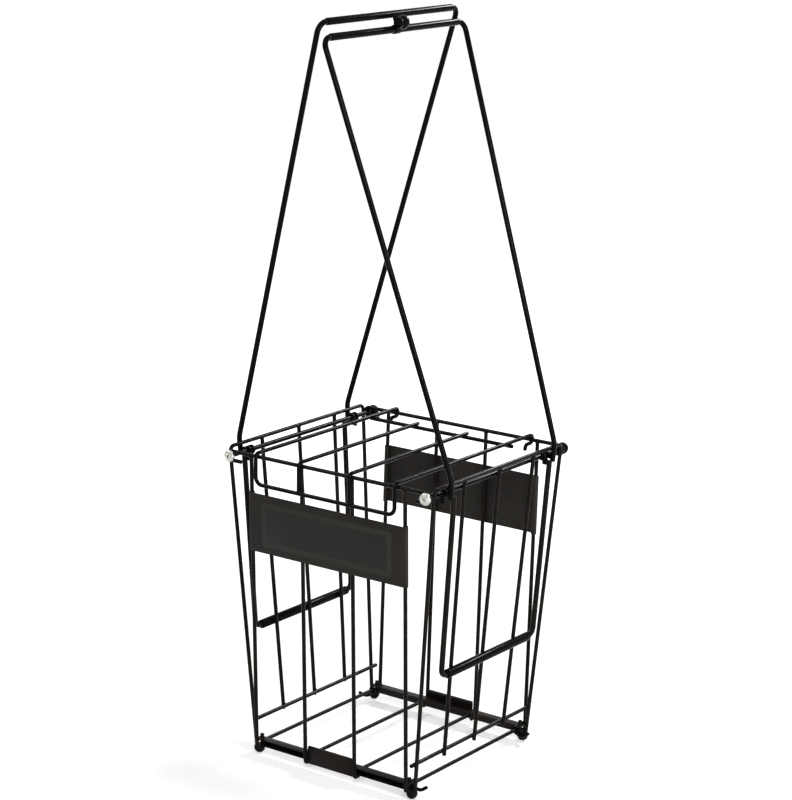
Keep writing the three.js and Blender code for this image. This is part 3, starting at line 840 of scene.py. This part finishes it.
# A point on a wall: out from the wires' middle plane, and up the wall from the plate's foot
def onWall(y, x, out, up):
    lean = wallLeanAngle
    depth = wallY(labelLowZ) + out * math.cos(lean) + up * math.sin(lean)
    return Vector((x, y * depth, labelLowZ - out * math.sin(lean) + up * math.cos(lean)))


def labelSheet(y):
    middle = wireRadius + seatGap + labelPlate["sheet"] / 2
    right = arc(middle, (wall["outerWireX"], 0), 90, 90 - labelPlate["wrapTurn"], 20)
    left = [(-a, b) for a, b in reversed(right)]
    section = left + right
    sweep = onWall(y, 0, 0, labelPlate["height"]) - onWall(y, 0, 0, 0)
    return sheetMetal([onWall(y, a, b, 0) for a, b in section], sweep, labelPlate)


def labelSpots(y):
    outer = wireRadius + seatGap + labelPlate["sheet"]
    way = onWall(y, 0, 1, 0) - onWall(y, 0, 0, 0)
    across = (-labelPlate["spotX"], labelPlate["spotX"])
    return [(onWall(y, x, outer, up), way) for x in across for up in labelPlate["spotRises"]]


for end, y in ends.items():
    strip, clip, plate = [plainMesh(form(y)) for form in (channelSheet, clipSheet, labelSheet)]
    spots = weldButtons(labelSpots(y), labelPlate["spotRadius"], labelPlate["spotHeight"], plateFinish)
    putIn(f"{end}FloorChannel", [strip], sheetFinish, "basket", [f"{end}_floor_channel"])
    putIn(f"{end}ClipPlate", [clip], sheetFinish, "basket", [f"{end}_clip_plate"])
    putIn(f"{end}LabelPlate", [plate, spots], plateFinish, "basket", [f"{end}_label_plate"])

# The bare label on the front plate: laminated film, greener and smoother than the plate,
# lying a little wavy over its adhesive, with a paler border
labelFilm = {
    "halfWidth": 82.5,
    "lowUp": 7.5,
    "height": 47.5,
    "corner": 1.5,
    "thick": 0.25,
    "softEdge": 0.1,
    "glueDepth": 0.05,  # sunk into the plate's face, so that no gap shows
    "border": 6,
    "borderBlur": 1,
    "films": ("#242522", "#272825"),
    "edge": "#2d2e2a",
    "ior": 1.49,
    "specular": 0.1,
    "roughness": (0.36, 0.46),
    "grains": {"ripple": (34, 1, 0.5), "speck": (1.1, 2, 0.5)},
    "rippleSpan": (0.35, 0.65),
    "rippleRelief": (0.3, 0.1),
    "speckSpan": (0.3, 0.7),
}


def makeLabelFilm():
    look = labelFilm
    material, tree, shader, place, grains = startMaterial("laminatedLabelFilm", look)
    tinted = (grains["ripple"], look["rippleSpan"])
    specked = (grains["speck"], look["speckSpan"])
    reliefs = [(grains["ripple"], look["rippleRelief"])]
    panel = layFinish(tree, shader, look, look["films"], tinted, reliefs, specked)
    # How far a point lies beyond the panel inside the border, sideways or up and down
    middle = onWall(-1, 0, 0, look["lowUp"] + look["height"] / 2).z / 1000
    apart = addNode(tree, "ShaderNodeSeparateXYZ", {0: place}).outputs
    overs = []
    for axis, centre, half in (("X", 0, look["halfWidth"]), ("Z", middle, look["height"] / 2)):
        off = addNode(tree, "ShaderNodeMath", {0: apart[axis], 1: centre}, operation="SUBTRACT")
        away = addNode(tree, "ShaderNodeMath", {0: off.outputs["Value"]}, operation="ABSOLUTE")
        reach = (half - look["border"]) / 1000
        over = addNode(tree, "ShaderNodeMath", {0: away.outputs["Value"], 1: reach}, operation="SUBTRACT")
        overs.append(over.outputs["Value"])
    beyond = addNode(tree, "ShaderNodeMath", {0: overs[0], 1: overs[1]}, operation="MAXIMUM")
    rim = addNode(
        tree,
        "ShaderNodeMapRange",
        {"Value": beyond.outputs["Value"], "From Min": 0, "From Max": look["borderBlur"] / 1000},
    )
    colour = addNode(
        tree,
        "ShaderNodeMix",
        {"Factor": rim.outputs["Result"], 6: panel, 7: linearColour(look["edge"])},
        data_type="RGBA",
    )
    tree.links.new(colour.outputs[2], shader.inputs["Base Color"])
    return material


def stickerFilm():
    half, low, corner = labelFilm["halfWidth"], labelFilm["lowUp"], labelFilm["corner"]
    right, left, high, base = half - corner, corner - half, low + labelFilm["height"] - corner, low + corner
    outline = []
    for i, centre in enumerate([(right, high), (left, high), (left, base), (right, base)]):
        outline += arc(corner, centre, 90 * i, 90 * i + 90, 6)
    face = wireRadius + seatGap + labelPlate["sheet"] - labelFilm["glueDepth"]
    film = bmesh.new()
    bottom = film.faces.new([film.verts.new(onWall(-1, a, face, b)) for a, b in outline])
    raised = bmesh.ops.extrude_face_region(film, geom=[bottom])
    way = onWall(-1, 0, labelFilm["thick"] + labelFilm["glueDepth"], 0) - onWall(-1, 0, 0, 0)
    top = [v for v in raised["geom"] if isinstance(v, bmesh.types.BMVert)]
    bmesh.ops.translate(film, vec=way, verts=top)
    bmesh.ops.recalc_face_normals(film, faces=film.faces)
    return softened(asObject(film), labelFilm["softEdge"])


putIn("frontLabelFilm", [plainMesh(stickerFilm())], makeLabelFilm(), "basket")
print("sheet metal folded")

# Floor bars with upset heads
floorBar = {
    "radius": 2,
    "headRadius": 2.6,
    "headThickness": 0.9,
    "headRound": 0.35,
}


def barForm(x):
    inner = basket["channelOuterY"] - basket["channelDepth"] + channel["sheet"] + seatGap
    end = inner + floorBar["headThickness"]
    r, head, soft = floorBar["radius"], floorBar["headRadius"], floorBar["headRound"]
    rim = [(head - soft, inner), (head, inner + soft), (head, end - soft), (head - soft, end)]
    half = [(r, 0), (r, inner), *rim, (0, end)]
    profile = [(a, -b) for a, b in reversed(half[1:])] + half
    return plainMesh(turned(profile, (x, 0, barZ), turnSides=24))


for i, x in enumerate(barPlaces, 1):
    putIn(f"floorBar{i}", [barForm(x)], barFinish, f"floor_bar_{i}", [f"floor_bar_{i}"])

# Feet, moulded round the bottoms of the hooks
foot = {
    "lip": 0.7,
    "lipTurns": (25, 50, 75, 90),  # degrees round the lip
}


def footForm(x, y):
    r, top, soft = basket["footRadius"], barZ - basket["channelHeight"] / 2 - seatGap, foot["lip"]
    centreX = hookTipX + sideFrame["hookWidth"] / 2
    cut = math.degrees(math.asin((top - soft - r) / r))
    ball = [(a, b + r) for a, b in arc(r, (0, 0), -89.9, cut, 26)]
    ball[0] = (0, 0)
    turns = [math.radians(a) for a in foot["lipTurns"]]
    lip = [(ball[-1][0] - soft * (1 - math.cos(t)), top - soft * (1 - math.sin(t))) for t in turns]
    return plainMesh(turned([*ball, *lip, (0, top)], (x * centreX, y * legFootY, 0), axis="Z"))


for end, y in ends.items():
    for side, x in sides.items():
        name, node = f"{end}{side.title()}Foot", f"{end}_{side}_foot"
        putIn(name, [footForm(x, y)], rubberFinish, "basket", [node])
print("bars and feet made")

# Pivot rods, screws and ball nuts
pivotRod = {
    "boreDepth": 5.6,
    "chamfer": 0.4,
}
pivotScrew = {
    "headRadius": 6.2,
    "headHeight": 3.4,
    "headRound": 1.9,
    "crown": ((0, 0.35), (0.3, 0.3), (0.55, 0.12)),  # shares of the head's radius, and rises over its face
    "seatEdge": 0.2,
    "shankRadius": 1.5,
    "shankLength": 8,
    "recessLength": 6.4,
    "recessWidth": 1.4,
    "recessDepth": 1.7,
    "recessRise": 0.2,  # over the head's face, where the depth counts from
    "recessClear": 1,  # the cutter begins this far above that
    "recessTaper": (0.45, 0.6),  # of its length and width, at its floor
    "recessTurn": 38,
}
ballNut = {
    "radius": 6.3,
    "setback": 4.9,
    "seatEdge": (0.3, 0.15),
    "seam": 0.12,
    "seamHalf": 0.35,
}


def rodForm(x):
    r, soft = basket["rodRadius"], pivotRod["chamfer"]
    front, back = -wallFace, wallFace + pivotRod["boreDepth"]
    frontEnd = [(0, front), (r - soft, front), (r, front + soft)]
    profile = [*frontEnd, (r, back - soft), (r - soft, back), (0, back)]
    return plainMesh(turned(profile, (x * rodX, 0, rodZ), turnSides=32))


def screwForm(x):
    seat = -wallFace - seatGap
    face, r, soft = seat - pivotScrew["headHeight"], pivotScrew["headRadius"], pivotScrew["headRound"]
    crown = [(r * share, face - rise) for share, rise in pivotScrew["crown"]]
    shoulder = [(a, face + soft - b) for a, b in arc(soft, (r - soft, 0), 90, 0, 10)]
    edge, shank, tip = pivotScrew["seatEdge"], pivotScrew["shankRadius"], seat + pivotScrew["shankLength"]
    profile = [*crown, *shoulder, (r, seat - edge), (r - edge, seat), (shank, seat), (shank, tip), (0, tip)]
    centre = (x * rodX, 0, rodZ)
    head = turned(profile, centre, turnSides=64)
    length, width, depth = [pivotScrew[f"recess{part}"] for part in ("Length", "Width", "Depth")]
    for turn in (0, 90):
        wing = block((-length / 2, -pivotScrew["recessClear"], -width / 2), (length / 2, depth, width / 2))
        for corner in wing.verts:
            if corner.co.y > 0:
                corner.co.x *= pivotScrew["recessTaper"][0]
                corner.co.z *= pivotScrew["recessTaper"][1]
        spin = Matrix.Rotation(math.radians(turn + pivotScrew["recessTurn"]), 4, "Y")
        wing.transform(Matrix.Translation((x * rodX, face - pivotScrew["recessRise"], rodZ)) @ spin)
        head = asObject(cutAway(head, asObject(wing)))
    return plainMesh(head)


def nutForm(x):
    seat = wallFace + seatGap
    r, middle = ballNut["radius"], seat + ballNut["setback"]
    cut = math.degrees(math.asin(-ballNut["setback"] / r))
    ball = [(a, b + middle) for a, b in arc(r, (0, 0), cut, 89.9, 28)]
    ball[-1] = (0, middle + r)
    across, along = ballNut["seatEdge"]
    edge = ball[0][0]
    profile = [(0, seat), (edge - across, seat), (edge, seat + along), *ball[1:]]
    proud, half = ballNut["seam"], ballNut["seamHalf"]
    ridge = [(r - proud, -half), (r + proud, 0), (r - proud, half), (r - 3 * proud, 0)]
    seam = turned([(a, middle + b) for a, b in ridge], (x * rodX, 0, rodZ), ring=True)
    return [plainMesh(turned(profile, (x * rodX, 0, rodZ))), plainMesh(seam)]


for side, x in sides.items():
    putIn(f"{side}PivotRod", [rodForm(x)], enamelFinish, "basket", [f"{side}_pivot_rod"])
    putIn(f"{side}PivotScrew", [screwForm(x)], zincFinish, "basket", [f"{side}_pivot_screw"], 30)
    putIn(f"{side}BallNut", nutForm(x), plasticFinish, "basket", [f"{side}_ball_nut"])
print("pivots turned")

# Claws on the outer floor bars
barClaw = {
    "collarRadius": 4.3,
    "wireRadius": 1.7,
    "reach": 16,
    "dip": 5.6,
    "bend": 8,
    "tipDome": 0.8,  # of the wire's radius
    "boreGap": 0.05,
    "collarRound": 0.4,
    "voxel": 0.28,
    # Degrees towards the bar's middle, at each corner that has a claw
    "turn": {"front_right": 0, "back_right": 0, "back_left": 61.2},
}


def clawForm(side, y, turn):
    x = side * barPlaces[-1]
    place = legFootY - basket["footRadius"] - seatGap - barClaw["wireRadius"]
    outer, inner = barClaw["collarRadius"], floorBar["radius"] + barClaw["boreGap"]
    section = ringSection(inner, outer, barClaw["wireRadius"], barClaw["collarRound"])
    collar = turned(section, (x, y * place, barZ), turnSides=40, ring=True)
    rootZ = barZ - outer + basket["weldBite"]
    out, along = side * math.cos(math.radians(turn)), -y * math.sin(math.radians(turn))

    def tailAt(reach, rise):
        return x + out * reach, y * place + along * reach, rootZ + rise

    reach, dip = barClaw["reach"], barClaw["dip"]
    tail = [tailAt(0, 0), (*tailAt(reach / 2, -dip / 2), barClaw["bend"]), tailAt(reach, dip / 2)]
    wire = bentWires([tail], barClaw["wireRadius"], endDome=barClaw["tipDome"])
    return fused([plainMesh(collar), wire], barClaw["voxel"])


for place, turn in barClaw["turn"].items():
    end, side = place.split("_")
    claw = clawForm(sides[side], ends[end], turn)
    putIn(f"{end}{side.title()}BarClaw", [claw], enamelFinish, "basket", [f"{place}_bar_claw"])
print("claws bent")

# Lid
lid = {
    "halfWidth": 88,
    "hookTail": 9,
    "tailDrop": 5.5,
    "flapDrop": 27.8,
    "flapBend": 8,
    "crossY": 78,
    "crossHalf": 92,
    "middleOverhang": 4,
    "hookClearance": 0.3,
    "flapGap": 0.5,
    "weldSpread": 1.3,  # of the wire's radius
}


def lidForm():
    hook = 2 * wireRadius + lid["hookClearance"]
    topZ = railZ + hook
    frontBend = 2 * wireRadius + lid["flapGap"]
    top, frontY = basket["frontTopY"], -basket["frontTopY"] - frontBend
    flapZ = topZ - lid["flapDrop"] - hook
    crossZ = topZ - 2 * wireRadius + basket["weldBite"]

    def arm(side):
        x = side * lid["halfWidth"]
        return [
            (x, top - lid["hookTail"], railZ - hook - lid["tailDrop"]),
            (x, top - lid["hookTail"], railZ - hook, hook),
            (x, top + hook, railZ - hook, hook),
            (x, top + hook, topZ, hook),
            (x, frontY, topZ, frontBend),
            (x, frontY, flapZ, lid["flapBend"]),
        ]

    inner, outer, crossY = wall["innerWireX"], lid["halfWidth"], lid["crossY"]
    flap = [(frontY, topZ, frontBend), (frontY, flapZ)]
    middle = [
        [(x, crossY + lid["middleOverhang"], topZ), *[(x, *place) for place in flap]] for x in (-inner, inner)
    ]
    cross = [(-lid["crossHalf"], crossY, crossZ), (lid["crossHalf"], crossY, crossZ)]
    welds = [((x, crossY, (topZ + crossZ) / 2), (0, 0, 1)) for x in (-outer, -inner, inner, outer)]
    welds += [((x, frontY, flapZ + wireRadius), (0, 0, 1)) for x in (-inner, inner)]
    wires = bentWires([arm(-1) + arm(1)[::-1], *middle, cross], wireRadius)
    return [wires, weldButtons(welds, wireRadius * lid["weldSpread"], weldHeight)]


putIn("lidWires", lidForm(), enamelFinish, "lid", ["lid_frame"])
print("lid bent")

# Handles and their sleeves
handle = {
    "pivotHalf": 91,
    "bendRise": 13,
    "bend": 26,
    "gripBend": 10,
    "gripFlare": {"left": 24.4, "right": 26.6},
    "gripRise": {"left": 449.2, "right": 434.9},
    "gripX": {"left": 14.5, "right": -8.1},  # outboard of the middle, on each handle's own side
    "heelDrop": 5,
    "sleeveRadius": 3.75,
    "sleeveBoreGap": 0.05,
    "sleeveEnd": 2,
}
lugs = {
    "radius": 5,
    "thickness": 2.4,
    "armStart": 1,  # inside the eye's wall, where it is fused
    "handleNeck": 6,
    "bailNeck": 5,
    "stopWidth": 5,
    "stopReach": 10.5,
    "stopShift": 0.2,
    "boreGap": 0.05,
    "round": 0.3,
    "voxel": 0.36,
}
wallLean = (rodX + railOffset - basket["sideFootX"]) / basket["height"]
legClearance = wireRadius + seatGap + handleWireRadius
legOffset = sideX(sideRailZ) + legClearance - rodX - wallLean * sideFrame["railRise"]


def handleY(side, rise):
    return handle["pivotHalf"] + rise / handle["gripRise"][side] * handle["gripFlare"][side]


# The eye that turns on a pivot rod, with the neck that carries the wire
def lugMeshes(x, y, reachX, reachZ, neck):
    half, start = lugs["thickness"] / 2, basket["rodRadius"] + lugs["armStart"]
    section = ringSection(basket["rodRadius"] + lugs["boreGap"], lugs["radius"], half, lugs["round"])
    eye = turned(section, (x * rodX, y, rodZ), turnSides=40, ring=True)
    arm = block((start, -half, -neck / 2), (math.hypot(reachX, reachZ), half, neck / 2))
    arm.transform(Matrix.Rotation(-math.atan2(reachZ, reachX), 4, "Y"))
    arm.transform(Matrix.Translation((rodX, y, rodZ)))
    return [plainMesh(eye), onSide(arm, x)]


def handleForm(side, x):
    gripRise, gripX = handle["gripRise"][side], handle["gripX"][side]

    def leg(y):
        heel, rise = -handle["heelDrop"], handle["bendRise"]
        return [
            (rodX + legOffset + wallLean * heel, y * handleY(side, heel), rodZ + heel),
            (rodX + legOffset + wallLean * rise, y * handleY(side, rise), rodZ + rise, handle["bend"]),
            (gripX, y * handleY(side, gripRise), rodZ + gripRise, handle["gripBend"]),
        ]

    chains = mirroredChains([leg(-1) + leg(1)[::-1]], x=x)
    parts = [bentWires(chains, handleWireRadius, wireSides=24, bendSegments=16)]
    half, width = lugs["thickness"] / 2, lugs["stopWidth"] / 2
    middle, top = rodX - lugs["stopShift"], rodZ - basket["rodRadius"] - lugs["armStart"]
    for y in (-handle["pivotHalf"], handle["pivotHalf"]):
        low = (middle - width, y - half, rodZ - lugs["stopReach"])
        stop = onSide(block(low, (middle + width, y + half, top)), x)
        lug = lugMeshes(x, y, legOffset, 0, lugs["handleNeck"])
        parts.append(fused([*lug, stop], lugs["voxel"]))
    return parts


def sleeveForm(x, z, radius, half):
    bore = handleWireRadius + handle["sleeveBoreGap"]
    soft = (radius - bore) / 2
    outer = arc(soft, (radius - soft, half - soft), 0, 90, 6)
    inner = arc(soft, (bore + soft, half - soft), 90, 180, 6)
    profile = [(a, -b) for a, b in reversed(outer + inner)] + outer + inner
    return plainMesh(turned(profile, (x, 0, z), turnSides=32, ring=True))


for side, x in sides.items():
    body, rise = f"{side}_handle", handle["gripRise"][side]
    putIn(f"{side}HandleWire", handleForm(side, x), enamelFinish, body, [f"{side}_handle_frame"])
    half = handleY(side, rise) - handle["gripBend"] - handle["sleeveEnd"]
    sleeve = sleeveForm(x * handle["gripX"][side], rodZ + rise, handle["sleeveRadius"], half)
    putIn(f"{side}GripSleeve", [sleeve], vinylFinish, body, [f"{side}_grip_sleeve"])
print("handles bent")

# Bails and their sleeves
bail = {
    "wireGap": 0.4,
    "topDrop": 4,
    "lugDrop": 8,
    "drop": 194,
    "footHalf": 82.5,
    "bend": 8,
    "sleeveRadius": 4.75,
    "sleeveEnd": 1,
}
bailPivotHalf = handle["pivotHalf"] - 2 * handleWireRadius - bail["wireGap"]
bailFootX = sideX(rodZ - bail["drop"]) + wireRadius + seatGap + bail["sleeveRadius"]


# How far out, along and up an arm of the bail is, this far below the rod
def bailPlace(drop):
    share = drop / bail["drop"]
    start = rodX + legOffset
    along = bailPivotHalf + share * (bail["footHalf"] - bailPivotHalf)
    return start + share * (bailFootX - start), along, rodZ - drop


def bailForm(x):
    top, foot = bailPlace(bail["topDrop"]), bailPlace(bail["drop"])
    arms = [[(top[0], y * top[1], top[2]), (foot[0], y * foot[1], foot[2], bail["bend"])] for y in (-1, 1)]
    chains = mirroredChains([arms[0] + arms[1][::-1]], x=x)
    parts = [bentWires(chains, handleWireRadius, wireSides=24, bendSegments=16)]
    reach = bailPlace(bail["lugDrop"])[0] - rodX
    for y in (-bailPivotHalf, bailPivotHalf):
        lug = lugMeshes(x, y, reach, -bail["lugDrop"], lugs["bailNeck"])
        parts.append(fused(lug, lugs["voxel"]))
    return parts


for side, x in sides.items():
    body = f"{side}_bail"
    putIn(f"{side}BailWire", bailForm(x), floorReflectionFinish, body, [f"{side}_bail_frame"])
    half = bail["footHalf"] - bail["bend"] - bail["sleeveEnd"]
    sleeve = sleeveForm(x * bailFootX, rodZ - bail["drop"], bail["sleeveRadius"], half)
    putIn(f"{side}BailSleeve", [sleeve], vinylFinish, body, [f"{side}_bail_sleeve"])
print("bails bent")

# Latch on the lower grip
latch = {
    "ballRadius": 7.25,
    "side": 8,
    "rise": 7.5,
    "collarRadius": 4.7,
    "collarWidth": 9,
    "stubRadius": 2.4,
    "shoulderRadius": 5.6,
    "shoulderReach": 8.2,
    "bore": 3.85,
    "round": 0.6,
    "voxel": 0.32,
    "smoothing": 4,
}


def latchForm():
    gripX, gripZ = handle["gripX"]["right"], rodZ + handle["gripRise"]["right"]
    ballX, ballZ, r = gripX + latch["side"], gripZ + latch["rise"], latch["ballRadius"]
    ball = [(a, b) for a, b in arc(r, (0, 0), -90, 90, 32)]
    ball[0], ball[-1] = (0, -r), (0, r)
    half, inner, soft = latch["collarWidth"] / 2, latch["bore"], latch["round"]
    section = ringSection(inner, latch["collarRadius"], half, soft)
    neck, away = latch["shoulderRadius"], latch["shoulderReach"]
    shoulder = [(0, -away), (neck - soft, -away), (neck, soft - away), (neck, 0), (0, 0)]
    stub = latch["stubRadius"]
    start = -handle["gripX"]["left"] + handle["sleeveRadius"] + seatGap
    parts = [
        plainMesh(turned(ball, (ballX, 0, ballZ))),
        plainMesh(turned(section, (gripX, 0, gripZ), ring=True)),
        plainMesh(turned(shoulder, (ballX, 0, ballZ))),
        plainMesh(asObject(block((start, -stub, ballZ + stub / 2), (ballX, stub, ballZ + stub * 2)))),
    ]
    drawn = asObject(fused(parts, latch["voxel"], latch["smoothing"]))
    reach = 3 * half  # well past both ends of the collar
    bore = turned([(0, -reach), (inner, -reach), (inner, reach), (0, reach)], (gripX, 0, gripZ))
    return cutAway(drawn, bore)


putIn("gripLatch", [latchForm()], plasticFinish, "latch", ["grip_latch"])
print("latch moulded")

# Floor, light and camera
studio = {
    "floor": "#e9e9e7",
    "floorHalf": 9,  # m
    "roughness": 0.7,
    "specular": 0.1,
    "nearLift": 0.4,  # glow of the floor as the camera sees it, so that open floor shows white
    "farLift": 0.85,
    "nearReach": 0.3,  # m from the middle of the basket
    "farReach": 1.6,
    "worldForObject": 0.15,  # how strongly the white world lights the basket
    "lampAim": (0, 0, 0.4),
}
# Softboxes: where each stands and its width and height in metres, and its watts
softboxes = {
    "frontBox": ((1.5, -1.7, 1.25), 0.25, 0.3, 10),
    "rightBox": ((2.3, -0.7, 0.85), 0.2, 1.6, 48),
    "leftTopBox": ((-1.5, -0.9, 2.2), 0.8, 0.16, 20),
    "backTopBox": ((0.5, 2.1, 1.9), 1.2, 0.2, 56),
}


# 1 for a ray that looks at the surround: from the camera, in a gloss or through clear material
def surroundShown(tree):
    rays = addNode(tree, "ShaderNodeLightPath").outputs
    shown = rays["Is Camera Ray"]
    for kind in ("Glossy", "Transmission"):
        both = {0: shown, 1: rays[f"Is {kind} Ray"]}
        shown = addNode(tree, "ShaderNodeMath", both, operation="MAXIMUM").outputs["Value"]
    return shown


def makeFloor():
    material, tree, shader, place, grains = startMaterial("paleStudioFloor", studio)
    shader.inputs["Base Color"].default_value = linearColour(studio["floor"])
    shader.inputs["Roughness"].default_value = studio["roughness"]
    reach = addNode(tree, "ShaderNodeVectorMath", {0: place}, operation="LENGTH")
    lift = addNode(
        tree,
        "ShaderNodeMapRange",
        {
            "Value": reach.outputs["Value"],
            "From Min": studio["nearReach"],
            "From Max": studio["farReach"],
            "To Min": studio["nearLift"],
            "To Max": studio["farLift"],
        },
        interpolation_type="SMOOTHSTEP",
    )
    strength = addNode(
        tree, "ShaderNodeMath", {0: surroundShown(tree), 1: lift.outputs["Result"]}, operation="MULTIPLY"
    )
    shader.inputs["Emission Color"].default_value = (1, 1, 1, 1)
    tree.links.new(strength.outputs["Value"], shader.inputs["Emission Strength"])
    sheet = bmesh.new()
    bmesh.ops.create_grid(sheet, x_segments=1, y_segments=1, size=studio["floorHalf"])
    floor = asObject(sheet, "studioFloor")
    floor.data.materials.append(material)


def makeWorld():
    world = bpy.data.worlds.new("whiteStudio")
    bpy.context.scene.world = world
    world.use_nodes = True
    tree = world.node_tree
    strength = addNode(
        tree,
        "ShaderNodeMapRange",
        {"Value": surroundShown(tree), "To Min": studio["worldForObject"], "To Max": 1},
    )
    background = tree.nodes["Background"]
    background.inputs["Color"].default_value = (1, 1, 1, 1)
    tree.links.new(strength.outputs["Result"], background.inputs["Strength"])


def hangSoftbox(name, place, width, height, watts):
    light = bpy.data.lights.new(name, "AREA")
    light.shape, light.size, light.size_y, light.energy = "RECTANGLE", width, height, watts
    obj = bpy.data.objects.new(name, light)
    bpy.context.scene.collection.objects.link(obj)
    obj.location = place
    obj.rotation_euler = (Vector(studio["lampAim"]) - Vector(place)).to_track_quat("-Z", "Y").to_euler()


makeFloor()
makeWorld()
for name, box in softboxes.items():
    hangSoftbox(name, *box)

# The photograph's viewpoint: place in millimetres, angles in radians, and the focal
# length in pixels of the frame
viewpoint = {
    "place": (1481.6, -2014.9, 1010.7),
    "heading": -0.6345,
    "lookDown": 0.2469,
    "roll": 0.0144,
    "focal": 2505.7,
    "frameHeight": 800,
}


def makeCamera():
    camera = bpy.data.cameras.new("photoCamera")
    camera.lens = viewpoint["focal"] * camera.sensor_width / viewpoint["frameHeight"]
    obj = bpy.data.objects.new("photoCamera", camera)
    bpy.context.scene.collection.objects.link(obj)
    obj.location = toFrame @ Vector(viewpoint["place"])
    aim = Euler((math.pi / 2 - viewpoint["lookDown"], 0, -viewpoint["heading"])).to_matrix()
    obj.rotation_euler = (aim @ Matrix.Rotation(viewpoint["roll"], 3, "Z")).to_euler()
    bpy.context.scene.camera = obj


makeCamera()
bpy.context.scene.view_settings.view_transform = "Standard"
print("studio set")
